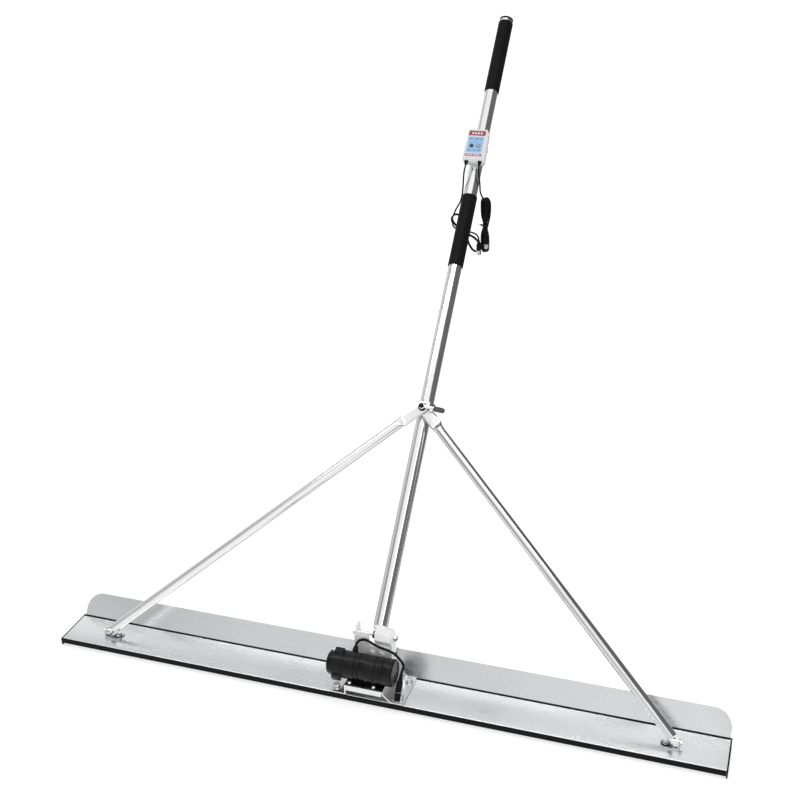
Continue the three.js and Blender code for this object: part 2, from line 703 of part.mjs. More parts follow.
const tube = ring('z', [0, 0], POLE_START, POLE_END, POLE_RADIUS - POLE_WALL, POLE_RADIUS, 0.3, 28);
add(handle, 'pole_tube', tube, brightSteel);
add(handle, 'grip_lower', grip(LOWER_GRIP), blackRubber);
add(handle, 'grip_upper', grip(UPPER_GRIP), blackRubber);
add(handle, 'pole_cap', poleCap(), blackPlastic);

// ---- junction clamp and its lever -----------------------------------------------------------

// A split collar round the pole, with a flat pad in front that the braces are bolted to.
function junctionClamp() {
  const low = JUNCTION - CLAMP_HEIGHT / 2;
  const high = JUNCTION + CLAMP_HEIGHT / 2;
  const collar = rod('z', [0, 0], low, high, CLAMP_RADIUS, 28);
  const pad = box(-13, 13, -CLAMP_FACE, 0, low, high);
  const bore = rod('z', [0, 0], low - 1, high + 1, POLE_RADIUS + GAP, 28);
  const slit = box(-1.2, 1.2, 10, 30, low - 1, high + 1);
  const front = box(-30, 30, -40, -CLAMP_FACE, low - 1, high + 1);
  const boltHole = rod('y', [0, JUNCTION], -30, -POLE_RADIUS, JUNCTION_BOLT + GAP, 16);
  return cut(join(collar, pad), bore, slit, front, boltHole);
}

const STACK_FRONT = BRACE_FLAT_FRONT + FLAT_THICK / 2 + 1;
const JUNCTION_WASHER = 1.6;

function junctionBolt() {
  const shank = rod('y', [0, JUNCTION], -STACK_FRONT - 11, -POLE_RADIUS - 0.6, JUNCTION_BOLT, 16);
  const washer = rod('y', [0, JUNCTION], -STACK_FRONT - JUNCTION_WASHER, -STACK_FRONT, 9.5, 24);
  return join(shank, washer);
}

// The clamping lever: a hub on the bolt, a narrow arm to the right and down, and a rounded end.
function junctionLever() {
  const bevel = 1;
  const back = -STACK_FRONT - JUNCTION_WASHER - GAP - bevel;
  const [hub, arm, tip] = [6.5, 2.2, 4];
  const shape = new THREE.Shape();
  shape.absarc(0, 0, hub, Math.PI / 8, -Math.PI / 8, false);
  shape.lineTo(LEVER_NECK - 3, -arm);
  shape.lineTo(LEVER_NECK, -tip);
  shape.absarc(LEVER_LENGTH, 0, tip, -Math.PI / 2, Math.PI / 2, false);
  shape.lineTo(LEVER_NECK, tip);
  shape.lineTo(LEVER_NECK - 3, arm);
  const flat = new THREE.ExtrudeGeometry(shape, {
    depth: 4,
    bevelEnabled: true,
    bevelThickness: bevel,
    bevelSize: bevel,
    bevelSegments: 2,
    curveSegments: 8,
  });
  const upright = flat.rotateZ(LEVER_TURN).rotateX(Math.PI / 2).translate(0, back, JUNCTION);
  const hole = rod('y', [0, JUNCTION], -60, back + 5, JUNCTION_BOLT + RUNNING_FIT, 16);
  return cut(upright, hole);
}

add(handle, 'junction_clamp', junctionClamp(), zincSteel);
add(handle, 'junction_bolt', junctionBolt(), darkSteel);
add(handle, 'junction_lever', junctionLever(), brightSteel);

// ---- braces ---------------------------------------------------------------------------------

// One brace: an eye on the pivot, a round tube, and a flattened end on the junction bolt.
function brace(sign, flatDepth) {
  const pivot = BRACE_PIVOT.clone().multiply(new THREE.Vector3(sign, 1, 1));
  const bolt = handle.localToWorld(new THREE.Vector3(0, -flatDepth, JUNCTION));
  const front = new THREE.Vector3(0, -Math.cos(LEAN), Math.sin(LEAN));
  const along = bolt.clone().sub(pivot).normalize();
  const depth = front.clone().addScaledVector(along, -front.dot(along)).normalize();
  const across = new THREE.Vector3().crossVectors(depth, along);
  const reach = bolt.distanceTo(pivot);
  const stations = [
    [TUBE_CLEAR, BRACE_RADIUS, BRACE_RADIUS, 1],
    ...squashStations(reach - FLAT_LENGTH - SQUASH_LENGTH),
    [reach, FLAT_HALF, FLAT_THICK / 2, 0.5],
    [reach + 5, FLAT_HALF * 0.94, FLAT_THICK / 2, 0.5],
    [reach + 9, FLAT_HALF * 0.8, FLAT_THICK / 2, 0.5],
    [reach + 12, FLAT_HALF * 0.55, FLAT_THICK / 2, 0.5],
    [reach + 13, FLAT_HALF * 0.35, FLAT_THICK / 2, 0.5],
  ];
  const rings = stations.map(([distance, halfWidth, halfDepth, squareness]) => {
    const centre = pivot.clone().addScaledVector(along, distance);
    return superEllipse(28, squareness).map(([p, q]) => {
      return centre.clone().addScaledVector(across, p * halfWidth).addScaledVector(depth, q * halfDepth);
    });
  });
  const toWorld = new THREE.Matrix4().makeBasis(across, depth, along).setPosition(pivot);
  const wall = BRACE_RADIUS - BRACE_WALL;
  const boreEnd = reach - FLAT_LENGTH - SQUASH_LENGTH - 4;
  const bore = rod('z', [0, 0], TUBE_CLEAR - 1, boreEnd, wall, 20).applyMatrix4(toWorld);
  const tab = box(-7, 7, -3, 3, 0, TUBE_CLEAR + 25).applyMatrix4(toWorld);
  const half = wall + 0.7;
  const tabEnds = box(-half, half, -3, 3, TUBE_CLEAR + 3, TUBE_CLEAR + 25).applyMatrix4(toWorld);
  const hinge = [pivot.y, pivot.z];
  const eye = rod('x', hinge, pivot.x - EYE_HALF, pivot.x + EYE_HALF, EYE_RADIUS, 20);
  const eyeHole = rod('x', hinge, pivot.x - 9, pivot.x + 9, PIVOT_PIN + RUNNING_FIT, 16);
  const boltHole = new THREE.CylinderGeometry(BRACE_HOLE, BRACE_HOLE, 16, 20);
  boltHole.applyMatrix4(new THREE.Matrix4().makeRotationX(-LEAN)).translate(bolt.x, bolt.y, bolt.z);
  const tube = cut(loft(rings), bore);
  return cut(join(tube, tab, tabEnds, eye), eyeHole, boltHole);
}

// Where the round tube is pressed flat: its half width grows as its half depth shrinks.
function squashStations(start) {
  const steps = 6;
  return Array.from({ length: steps + 1 }, (unused, i) => {
    const part = i / steps;
    const eased = part * part * (3 - 2 * part);
    const halfWidth = BRACE_RADIUS + (FLAT_HALF - BRACE_RADIUS) * eased;
    const halfDepth = BRACE_RADIUS + (FLAT_THICK / 2 - BRACE_RADIUS) * eased;
    return [start + SQUASH_LENGTH * part, halfWidth, halfDepth, 1 - 0.5 * eased];
  });
}

function superEllipse(count, squareness) {
  return Array.from({ length: count }, (unused, i) => {
    const angle = (2 * Math.PI * i) / count;
    const bend = (value) => Math.sign(value) * Math.abs(value) ** squareness;
    return [bend(Math.cos(angle)), bend(Math.sin(angle))];
  });
}

// The lug under a brace: a foot on the blade and an ear on the outer side of the brace's eye.
function braceLug(sign) {
  const { x, y, z } = BRACE_PIVOT;
  const crown = 9;
  const floor = BLADE_HEIGHT + GAP;
  const earIn = x + EYE_HALF + GAP;
  const base = box(x - 30, earIn + LUG_SHEET, y - 11, y + 14, floor, floor + LUG_SHEET);
  const shape = new THREE.Shape();
  shape.moveTo(y - crown, floor);
  shape.lineTo(y + crown, floor);
  shape.lineTo(y + crown, z);
  shape.absarc(y, z, crown, 0, Math.PI, false);
  const upright = alongX(shape, earIn, earIn + LUG_SHEET, 8);
  const pinHole = rod('x', [y, z], earIn - 1, earIn + 5, PIVOT_PIN + GAP, 16);
  const screwHole = rod('z', [LUG_SCREW_X, LUG_SCREW_Y], floor - 1, floor + 5, PIVOT_PIN + GAP, 12);
  return cut(join(base, upright), pinHole, screwHole).scale(sign, 1, 1);
}

// The pin through a brace's eye, with a nut outside the lug's ear.
function bracePivot(sign) {
  const { x, y, z } = BRACE_PIVOT;
  const nutFace = x + EYE_HALF + GAP + LUG_SHEET + GAP;
  const shank = rod('x', [y, z], x - EYE_HALF, nutFace + 3.4, PIVOT_PIN, 16);
  const nut = rod('x', [y, z], nutFace, nutFace + 3.9, 5.8, 6);
  return join(shank, nut).scale(sign, 1, 1);
}

sides((side, sign) => {
  const flatDepth = sign < 0 ? BRACE_FLAT_FRONT : BRACE_FLAT_REAR;
  add(screed, `brace_${side}`, brace(sign, flatDepth), brightSteel);
  add(screed, `brace_lug_${side}`, braceLug(sign), zincSteel);
  add(screed, `brace_pivot_${side}`, bracePivot(sign), zincSteel);
  const seat = BLADE_HEIGHT + GAP + LUG_SHEET + GAP;
  const screw = hexBolt(6, LUG_SHEET).translate(sign * LUG_SCREW_X, LUG_SCREW_Y, seat);
  add(screed, `lug_screw_${side}`, screw, zincSteel);
});

// ---- controller -----------------------------------------------------------------------------

// One half of the controller's case, between two depths in front of the pole, as a tray.
function tray(backDepth, frontDepth, openBack, openFront) {
  const block = taperedBlock(0, backDepth, frontDepth);
  const hollowBack = openBack ? backDepth - 1 : backDepth + BOX_WALL;
  const hollowFront = openFront ? frontDepth + 1 : frontDepth - BOX_WALL;
  return cut(block, taperedBlock(BOX_WALL, hollowBack, hollowFront));
}

function taperedBlock(inset, backDepth, frontDepth) {
  const low = BOX_START + inset;
  const high = BOX_START + BOX_HEIGHT - inset;
  const shape = outline([
    [-BOX_BOTTOM_HALF + inset, low],
    [BOX_BOTTOM_HALF - inset, low],
    [BOX_TOP_HALF - inset, high],
    [-BOX_TOP_HALF + inset, high],
  ]);
  return alongY(shape, -frontDepth, -backDepth);
}

function controllerBack() {
  const saddle = rod('z', [0, 0], BOX_START - 5, BOX_START + BOX_HEIGHT + 5, POLE_RADIUS + GAP, 28);
  const shell = tray(BOX_BACK, BOX_SPLIT, false, true);
  const cradle = cut(box(-18, 18, -BOX_SPLIT + 3, -BOX_BACK, BOX_START, BOX_START + BOX_HEIGHT), saddle);
  return cut(join(shell, cradle), saddle);
}

function controllerFront() {
  const shell = tray(BOX_SPLIT + GAP, BOX_FRONT, true, false);
  const buttonHoles = [-BUTTON_X, BUTTON_X].map((x) => {
    return rod('y', [x, BOX_START + BUTTON_Z], -BOX_FRONT - 1, -BOX_FRONT + 5, BUTTON_RADIUS + GAP, 20);
  });
  const glandHoles = [-LEAD_EXIT_X, LEAD_EXIT_X].map((x) => {
    return rod('z', [x, -LEAD_EXIT_DEPTH], BOX_START - 1, BOX_START + 4, 3.6, 12);
  });
  return cut(shell, ...buttonHoles, ...glandHoles);
}

// The half strap behind the pole that holds the controller on.
function controllerClamp() {
  const low = BOX_START + BOX_HEIGHT / 2 - 11;
  const high = low + 22;
  const half = ring('z', [0, 0], low, high, POLE_RADIUS + GAP, POLE_RADIUS + 3, 0.5, 28);
  const ears = box(-23.5, 23.5, -BOX_BACK + GAP, -BOX_BACK + GAP + 3, low, high);
  const bore = rod('z', [0, 0], low - 1, high + 1, POLE_RADIUS + GAP, 28);
  const front = box(-40, 40, -40, -BOX_BACK + GAP, low - 1, high + 1);
  return cut(join(half, ears), bore, front);
}

function leadGland() {
  return turned('z', [0, 0], [
    [0, -9],
    [2.9, -9],
    [4.4, -3],
    [5.2, -GAP],
    [3.3, -GAP],
    [3.3, 4],
    [0, 4],
  ], 12);
}

add(handle, 'controller_back', controllerBack(), boxPlastic);
add(handle, 'controller_front', controllerFront(), boxPlastic);
add(handle, 'controller_clamp', controllerClamp(), zincSteel);
sides((side, sign) => {
  const gland = leadGland().translate(sign * LEAD_EXIT_X, -LEAD_EXIT_DEPTH, BOX_START);
  add(handle, `lead_gland_${side}`, gland, blackPlastic);
});

function button(x) {
  const profile = [
    [0, -BOX_FRONT + 6],
    [BUTTON_RADIUS, -BOX_FRONT + 6],
    [BUTTON_RADIUS, -BOX_FRONT - BUTTON_PROUD + 0.8],
    [BUTTON_RADIUS - 0.8, -BOX_FRONT - BUTTON_PROUD],
    [0, -BOX_FRONT - BUTTON_PROUD],
  ];
  return turned('y', [x, BOX_START + BUTTON_Z], profile, 20);
}

add(handle, 'button_power', button(-BUTTON_X), buttonDark);
add(handle, 'button_speed', button(BUTTON_X), buttonGrey);

// ---- cords ----------------------------------------------------------------------------------

// The motor's lead leaves the gland, passes over the tilt axis and behind the motor, and hangs
// down to its inline connector at the right of the bridge.
const MOTOR_LEAD_ROUTE = [
  [-40, 11.85, 102.85],
  [-40, 14.6, 105.6],
  [-37.6, 18.6, 109.4],
  [-32, 21.8, 112],
  [-24, 22.8, 113.2],
  [-14, 21.2, 112.3],
  [-4, 18.2, 110],
  [8, 15.5, 107.5],
  [21, 14, 105.5],
  [35, 12.4, 103.5],
  [48, 8.6, 101],
  [60, 2, 97],
  [69, -3, 91.5],
  [72.5, -5, 85.5],
  [71.8, -7, 80],
  [70, -10, 75],
  [70, -13.5, 71],
];

const CONNECTOR_TOP = new THREE.Vector3(70, -13.5, 71);
const CONNECTOR_BOTTOM = new THREE.Vector3(71, -51, 27.5);

// An inline plug: a moulded body with a tapered tail and a coupling ring, from its tail to its face.
function plug(tail, face, radius) {
  const length = tail.distanceTo(face);
  const body = turned('y', [0, 0], [
    [0, GAP],
    [radius * 0.5, GAP],
    [radius * 0.72, length * 0.22],
    [radius, length * 0.28],
    [radius, length * 0.66],
    [radius * 1.08, length * 0.68],
    [radius * 1.08, length * 0.9],
    [radius * 0.9, length * 0.92],
    [radius * 0.9, length],
    [0, length],
  ], 16);
  const turn = new THREE.Quaternion().setFromUnitVectors(
    new THREE.Vector3(0, 1, 0),
    face.clone().sub(tail).normalize(),
  );
  return body.applyQuaternion(turn).translate(tail.x, tail.y, tail.z);
}

add(screed, 'motor_lead', cordTube(MOTOR_LEAD_ROUTE, MOTOR_LEAD, 10), cordJacket);
add(screed, 'motor_connector', plug(CONNECTOR_TOP, CONNECTOR_BOTTOM, 6.5), blackPlastic);

// The controller's two leads run down the sides of the pole to tied hanks beside the lower grip.
const LEAD_LEFT_ROUTE = [
  [-16.5, 795.1, 959.8],
  [-16.6, 791.4, 955.9],
  [-17.8, 788.6, 949],
  [-19, 787.2, 939],
  [-19.8, 786.4, 926],
  [-20.6, 784.8, 908],
  [-21.2, 783.4, 896],
  [-22.6, 781.6, 884],
  [-26, 779.4, 872],
  [-31.2, 777, 861.5],
  [-36.5, 775, 852],
];

const LEAD_RIGHT_ROUTE = [
  [16.5, 795.1, 959.8],
  [16.5, 791.4, 955.9],
  [16.9, 789.6, 949],
  [17.8, 790.2, 937],
  [18.8, 792, 922],
  [19.2, 794.2, 909],
  [19, 796, 899],
  [20.2, 796.9, 890.5],
  [23.6, 795.4, 885],
];

// The outer shape of a hank: an outline with round ends, turned on its length and leaned over.
function hank({ centre, length, halfWidth, thickness, turn, lean }) {
  const reach = length / 2 - halfWidth;
  const shape = new THREE.Shape();
  shape.absarc(0, reach, halfWidth, 0, Math.PI, false);
  shape.absarc(0, -reach, halfWidth, Math.PI, 2 * Math.PI, false);
  const upright = alongY(shape, -thickness / 2, thickness / 2, 8);
  return upright.rotateZ(turn).rotateY(lean).translate(...centre);
}

const HANK_LEFT = {
  centre: [-8, 770, 798],
  length: 110,
  halfWidth: 15,
  thickness: 13,
  turn: 0,
  lean: THREE.MathUtils.degToRad(-36),
};
const HANK_RIGHT = {
  centre: [31.5, 797, 812.5],
  length: 137,
  halfWidth: 15,
  thickness: 17.3,
  turn: THREE.MathUtils.degToRad(-41),
  lean: 0,
};
const LEAD_PLUGS = {
  left: [new THREE.Vector3(27, 755, 786), new THREE.Vector3(27, 755, 750)],
  right: [new THREE.Vector3(42, 772, 798), new THREE.Vector3(42, 772, 762)],
};

add(screed, 'lead_left', cordTube(LEAD_LEFT_ROUTE, BOX_LEAD, 8), cordJacket);
add(screed, 'lead_right', cordTube(LEAD_RIGHT_ROUTE, BOX_LEAD, 8), cordJacket);
add(screed, 'hank_left', hank(HANK_LEFT), cordJacket);
add(screed, 'hank_right', hank(HANK_RIGHT), cordJacket);
sides((side) => add(screed, `lead_plug_${side}`, plug(...LEAD_PLUGS[side], 5.8), blackPlastic));

export default screed;
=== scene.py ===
import json
import math

import bmesh
import bpy
from mathutils import Matrix, Vector

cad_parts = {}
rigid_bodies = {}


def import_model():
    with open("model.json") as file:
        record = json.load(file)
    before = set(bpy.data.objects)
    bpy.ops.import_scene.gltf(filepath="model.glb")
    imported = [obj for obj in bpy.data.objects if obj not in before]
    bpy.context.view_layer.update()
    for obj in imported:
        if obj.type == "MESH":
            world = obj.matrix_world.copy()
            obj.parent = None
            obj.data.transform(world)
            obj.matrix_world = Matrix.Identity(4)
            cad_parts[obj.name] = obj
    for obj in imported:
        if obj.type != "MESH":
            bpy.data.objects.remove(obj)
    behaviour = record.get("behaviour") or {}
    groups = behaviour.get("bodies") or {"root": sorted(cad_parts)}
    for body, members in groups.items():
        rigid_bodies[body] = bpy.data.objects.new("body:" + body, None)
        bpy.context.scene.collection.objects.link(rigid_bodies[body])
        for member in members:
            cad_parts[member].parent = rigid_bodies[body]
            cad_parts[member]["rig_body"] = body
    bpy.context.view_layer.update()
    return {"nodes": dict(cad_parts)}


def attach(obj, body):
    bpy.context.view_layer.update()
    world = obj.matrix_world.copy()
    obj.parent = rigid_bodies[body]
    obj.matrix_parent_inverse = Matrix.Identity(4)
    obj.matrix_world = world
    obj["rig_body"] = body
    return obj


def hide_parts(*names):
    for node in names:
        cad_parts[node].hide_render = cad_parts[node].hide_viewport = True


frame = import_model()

nodes = frame["nodes"]

# ---- shared dimensions, in millimetres ------------------------------------------------------

MM = 0.001
LEAN = math.radians(43.3)
PIVOT = Vector((0, 44.5, 115.2)) * MM
HANDLE = Matrix.Translation(PIVOT) @ Matrix.Rotation(-LEAN, 4, "X")  # +Z up the pole, -Y its front
WORLD = Matrix.Identity(4)

BLADE_HALF = 746.7
BLADE_FRONT = -48.7
BLADE_HEIGHT = 17
SHEET = 1.5
PLATE_REAR = 44
HEM = 5  # how far the top plate's rear edge is folded down
FLANGE_Y = 52  # the flange's outer face at the height of the top plate
FLANGE_BACK = 30
FLANGE_RISE = 44
FLANGE_FOOT = FLANGE_Y - BLADE_HEIGHT * FLANGE_BACK / FLANGE_RISE  # where the sole turns up
FLANGE_CORNER = 38
BEND = 2.2  # outer radius of the sheet's bends
LUG_SCREW = (624, -8)
BRACE_FOOT = (644, -10, 30)

MOTOR_Y = -18.5
MOTOR_Z = 72.5
BELL_FACE = -76.1  # front of the lugs on the left end bell
BELL_SCREW_CIRCLE = 32.5
EAR_CROWN = (-50, 50, 127)

GRIP_BORE = 16.3
GRIP_RADIUS = 18.3
GRIPS = {"grip_lower": (876, 1062), "grip_upper": (1351, 1551)}  # along the pole
JUNCTION = 514  # along the pole from the tilt axis
BRACE_FLATS = -25.8  # middle plane of the braces' flattened ends, in front of the pole's axis
LEVER_REST = -34.2  # rear face of the lever
LEVER_TURN = -6  # degrees
LEVER_LENGTH = 50  # from the bolt to the centre of the rounded end
BOX_START = 1139
BOX_HEIGHT = 81
BOX_FRONT = 44
BUTTONS = (8.5, 36)  # to each side of the middle, and above the controller's lower end

LEAD = 4  # diameter of the controller's leads
MOTOR_LEAD = 5.5


def mm(*xyz):
    return Vector(xyz) * MM


# ---- camera ---------------------------------------------------------------------------------

CAMERA_PLACE = (0.77192, -1.95772, 1.67058)
LENS = 54.21
SENSOR = 36
RIGHT = Vector((0.94651, 0.32159, -0.02633))
UP = Vector((-0.11306, 0.40698, 0.90641))
BACKWARD = Vector((0.30221, -0.85495, 0.42158))
camera_data = bpy.data.cameras.new("camera")
camera_data.sensor_width = SENSOR
camera_data.lens = LENS
camera_data.clip_end = 60
camera = bpy.data.objects.new("camera", camera_data)
bpy.context.scene.collection.objects.link(camera)
turned_camera = Matrix((RIGHT, UP, BACKWARD)).transposed().to_4x4()
camera.matrix_world = Matrix.Translation(CAMERA_PLACE) @ turned_camera
bpy.context.scene.camera = camera

# ---- materials ------------------------------------------------------------------------------


class Finish:
    """A Principled material, with patterns in object space wired into its inputs."""

    def __init__(self, name, color, roughness, metallic=0.0, **inputs):
        self.material = bpy.data.materials.new(name)
        self.material.use_nodes = True
        self.tree = self.material.node_tree
        self.shader = self.tree.nodes["Principled BSDF"]
        self.color = (*color, 1)
        self.roughness = roughness
        self.set("Base Color", self.color)
        self.set("Roughness", roughness)
        self.set("Metallic", metallic)
        for key, value in inputs.items():
            self.set(key.replace("_", " "), value)

    def set(self, name, value):
        self.shader.inputs[name].default_value = value

    def add(self, kind, **settings):
        node = self.tree.nodes.new(kind)
        for key, value in settings.items():
            setattr(node, key, value)
        return node

    def link(self, output, target):
        self.tree.links.new(output, target)

    def noise(self, scale, detail=3.0, stretch=(1, 1, 1), distortion=0.0):
        """Noise in object space; scale is in cycles per metre and stretch multiplies it per axis."""
        place = self.add("ShaderNodeTexCoord")
        mapping = self.add("ShaderNodeMapping")
        mapping.inputs["Scale"].default_value = [scale * s for s in stretch]
        texture = self.add("ShaderNodeTexNoise")
        texture.inputs["Scale"].default_value = 1
        texture.inputs["Detail"].default_value = detail
        texture.inputs["Distortion"].default_value = distortion
        self.link(place.outputs["Object"], mapping.inputs["Vector"])
        self.link(mapping.outputs["Vector"], texture.inputs["Vector"])
        return texture.outputs["Fac"]

    def cells(self, scale):
        """Distance to the nearest cell centre, for grain and pimples."""
        place = self.add("ShaderNodeTexCoord")
        mapping = self.add("ShaderNodeMapping")
        mapping.inputs["Scale"].default_value = [scale] * 3
        texture = self.add("ShaderNodeTexVoronoi")
        texture.inputs["Scale"].default_value = 1
        self.link(place.outputs["Object"], mapping.inputs["Vector"])
        self.link(mapping.outputs["Vector"], texture.inputs["Vector"])
        return texture.outputs["Distance"]

    def coordinate(self, axis):
        place = self.add("ShaderNodeTexCoord")
        split = self.add("ShaderNodeSeparateXYZ")
        self.link(place.outputs["Object"], split.inputs["Vector"])
        return split.outputs[axis]

    def between(self, value, low, high, start=0.0, end=1.0):
        node = self.add("ShaderNodeMapRange")
        node.inputs["From Min"].default_value = start
        node.inputs["From Max"].default_value = end
        node.inputs["To Min"].default_value = low
        node.inputs["To Max"].default_value = high
        self.link(value, node.inputs["Value"])
        return node.outputs["Result"]

    def math(self, operation, first, second):
        node = self.add("ShaderNodeMath", operation=operation)
        for slot, value in zip(node.inputs, (first, second)):
            if isinstance(value, (int, float)):
                slot.default_value = value
            else:
                self.link(value, slot)
        return node.outputs["Value"]

    def tint(self, mask, color):
        """Mixes the base colour towards another where the mask is 1."""
        node = self.add("ShaderNodeMix", data_type="RGBA")
        source = self.shader.inputs["Base Color"]
        if source.is_linked:
            self.link(source.links[0].from_socket, node.inputs["A"])
        else:
            node.inputs["A"].default_value = self.color
        node.inputs["B"].default_value = (*color, 1)
        self.link(mask, node.inputs["Factor"])
        self.link(node.outputs["Result"], source)
        return self

    def rough(self, pattern, spread, start=0.3, end=0.7):
        """Adds a pattern to the roughness."""
        source = self.shader.inputs["Roughness"]
        base = source.links[0].from_socket if source.is_linked else self.roughness
        change = self.between(pattern, -spread, spread, start, end)
        self.link(self.math("ADD", change, base), source)
        return self

    def bump(self, pattern, depth_mm):
        node = self.add("ShaderNodeBump")
        node.inputs["Strength"].default_value = 1
        node.inputs["Distance"].default_value = depth_mm * MM
        self.link(pattern, node.inputs["Height"])
        source = self.shader.inputs["Normal"]
        if source.is_linked:
            self.link(source.links[0].from_socket, node.inputs["Normal"])
        self.link(node.outputs["Normal"], source)
        return self


def brushed(name, color, roughness, stretch, dark, depth=0.012):
    """Drawn or rolled metal: fine streaks along one axis, soft stains, and a few scratches."""
    finish = Finish(name, color, roughness, metallic=1.0)
    streaks = finish.noise(700, detail=4, stretch=stretch)
    stains = finish.noise(9, detail=5)
    scratches = finish.between(finish.noise(160, detail=2, stretch=stretch), 0, 1, 0.66, 0.74)
    finish.tint(finish.between(streaks, 0, 0.35, 0.35, 0.75), dark)
    finish.tint(finish.between(stains, 0, 0.22, 0.5, 0.8), dark)
    finish.tint(finish.math("MULTIPLY", scratches, 0.3), dark)
    finish.rough(streaks, 0.05).rough(stains, 0.05)
    return finish.bump(streaks, depth)


def tube_finish(name):
    return brushed(name, (0.93, 0.93, 0.93), 0.13, ALONG_Z, (0.8, 0.8, 0.81), depth=0.002)


def plated(name, color, roughness, dark):
    """Zinc or chrome plate: smooth, slightly cloudy, with small dull pits."""
    finish = Finish(name, color, roughness, metallic=1.0)
    cloud = finish.noise(60, detail=6, distortion=0.4)
    pits = finish.between(finish.noise(1600, detail=2), 0, 1, 0.68, 0.78)
    finish.tint(finish.between(cloud, 0, 0.3, 0.45, 0.75), dark)
    finish.tint(finish.math("MULTIPLY", pits, 0.4), dark)
    return finish.rough(cloud, 0.06).bump(finish.noise(900), 0.01).material


def painted(name, color, roughness, worn, grain=1500, depth=0.03, coat=0.0, shine=0.5):
    """Sprayed paint: orange peel, patches of dust, and thin rubbed spots."""
    finish = Finish(
        name, color, roughness, Specular_IOR_Level=shine, Coat_Weight=coat, Coat_Roughness=0.2
    )
    peel = finish.noise(grain, detail=2)
    dust = finish.noise(35, detail=6)
    rubbed = finish.between(finish.noise(240, detail=5, distortion=0.6), 0, 1, 0.7, 0.76)
    finish.tint(finish.between(dust, 0, 0.12, 0.5, 0.75), worn)
    finish.tint(finish.math("MULTIPLY", rubbed, 0.25), worn)
    return finish.rough(dust, 0.06).rough(peel, 0.03).bump(peel, depth).material


def moulded(name, color, roughness, worn, grain=2600, depth=0.02, shine=0.5):
    """Moulded plastic with a fine spark-eroded grain and faint handling marks."""
    finish = Finish(name, color, roughness, Specular_IOR_Level=shine)
    texture = finish.cells(grain)
    marks = finish.noise(45, detail=6)
    finish.tint(finish.between(marks, 0, 0.1, 0.5, 0.8), worn)
    return finish.rough(marks, 0.07).bump(texture, depth).material


def rubbery(name, color, roughness, worn, grain=1200, depth=0.05):
    """Rubber or foam sleeve: pebbled, soft sheen, chalky where it has been handled."""
    finish = Finish(name, color, roughness, Specular_IOR_Level=0.1, Sheen_Weight=0.01)
    pebbles = finish.cells(grain)
    chalk = finish.noise(28, detail=7)
    finish.tint(finish.between(chalk, 0, 0.2, 0.52, 0.8), worn)
    return finish.rough(chalk, 0.08).bump(pebbles, depth).material


ALONG_X = (0.02, 1, 1)
ALONG_Z = (1, 1, 0.02)
GREY = (0.42, 0.43, 0.44)
DUST = (0.20, 0.20, 0.19)
SOOT = (0.03, 0.03, 0.03)
sheet_steel = brushed(
    "sheet_steel", (0.86, 0.87, 0.88), 0.28, ALONG_X, (0.8, 0.81, 0.82), depth=0.002
).material
bridge_steel = brushed("bridge_steel", (0.90, 0.90, 0.90), 0.2, ALONG_X, (0.7, 0.7, 0.71)).material
tube_steel = tube_finish("tube_steel").material
zinc = plated("zinc_plate", (0.78, 0.79, 0.80), 0.28, GREY)
bright = plated("bright_plate", (0.93, 0.93, 0.93), 0.18, (0.6, 0.6, 0.6))
white_zinc = painted("white_zinc", (0.93, 0.93, 0.93), 0.4, (0.8, 0.8, 0.8), grain=900)
alloy = painted("cast_alloy", (0.93, 0.93, 0.93), 0.5, GREY, grain=900, depth=0.06)
black_steel = plated("black_steel", (0.03, 0.03, 0.03), 0.4, (0.02, 0.02, 0.02))
dark_steel = plated("oiled_steel", (0.18, 0.18, 0.19), 0.35, (0.08, 0.08, 0.08))
motor_paint = painted("motor_paint", (0.004, 0.004, 0.005), 0.3, SOOT, coat=0.1, shine=0.2)
# Near-black paint for the front strip, painted shade: it stands in for the stainless front wall where
# it is in shadow.
front_shade_black = painted("front_shade_black", (0.006, 0.006, 0.007), 0.45, SOOT, grain=900, shine=0.08)
cap_plastic = moulded("cap_plastic", (0.006, 0.006, 0.007), 0.45, SOOT, shine=0.12)
sleeve_plastic = moulded("sleeve_plastic", (0.05, 0.05, 0.052), 0.3, (0.1, 0.1, 0.1))
grip_rubber = rubbery("grip_rubber", (0.006, 0.006, 0.006), 0.5, (0.02, 0.02, 0.02))
# Black rubber for the lug rings; on the seam strip it is painted shade, filling the shadowed gap
# between the top plate and the flange.
black_rubber_and_seam_shade = rubbery("black_rubber_and_seam_shade", (0.01, 0.01, 0.01), 0.7, SOOT)
cord_rubber = rubbery("cord_rubber", (0.006, 0.006, 0.006), 0.38, SOOT, grain=2400, depth=0.01)
case_plastic = moulded("case_plastic", (0.74, 0.75, 0.76), 0.42, (0.5, 0.49, 0.46))
case_base = moulded("case_base", (0.50, 0.51, 0.52), 0.5, (0.34, 0.34, 0.33))
panel_blue = moulded("panel_film", (0.30, 0.52, 0.80), 0.3, (0.24, 0.42, 0.68), depth=0.006)
panel_red = moulded("red_print", (0.33, 0.04, 0.07), 0.35, (0.25, 0.03, 0.05), depth=0.006)
panel_pink = moulded("pink_print", (0.42, 0.11, 0.2), 0.35, (0.3, 0.08, 0.15), depth=0.006)
panel_white = moulded("white_film", (0.80, 0.80, 0.81), 0.3, (0.6, 0.6, 0.6), depth=0.006)
button_navy = moulded("button_navy", (0.02, 0.04, 0.12), 0.35, (0.06, 0.08, 0.14))
button_grey = moulded("button_grey", (0.30, 0.36, 0.44), 0.4, (0.2, 0.22, 0.26))
tie_nylon = moulded("tie_nylon", (0.018, 0.018, 0.018), 0.35, DUST, depth=0.005)
copper = plated("copper_winding", (0.55, 0.27, 0.14), 0.35, (0.25, 0.1, 0.05))

# ---- making pieces --------------------------------------------------------------------------


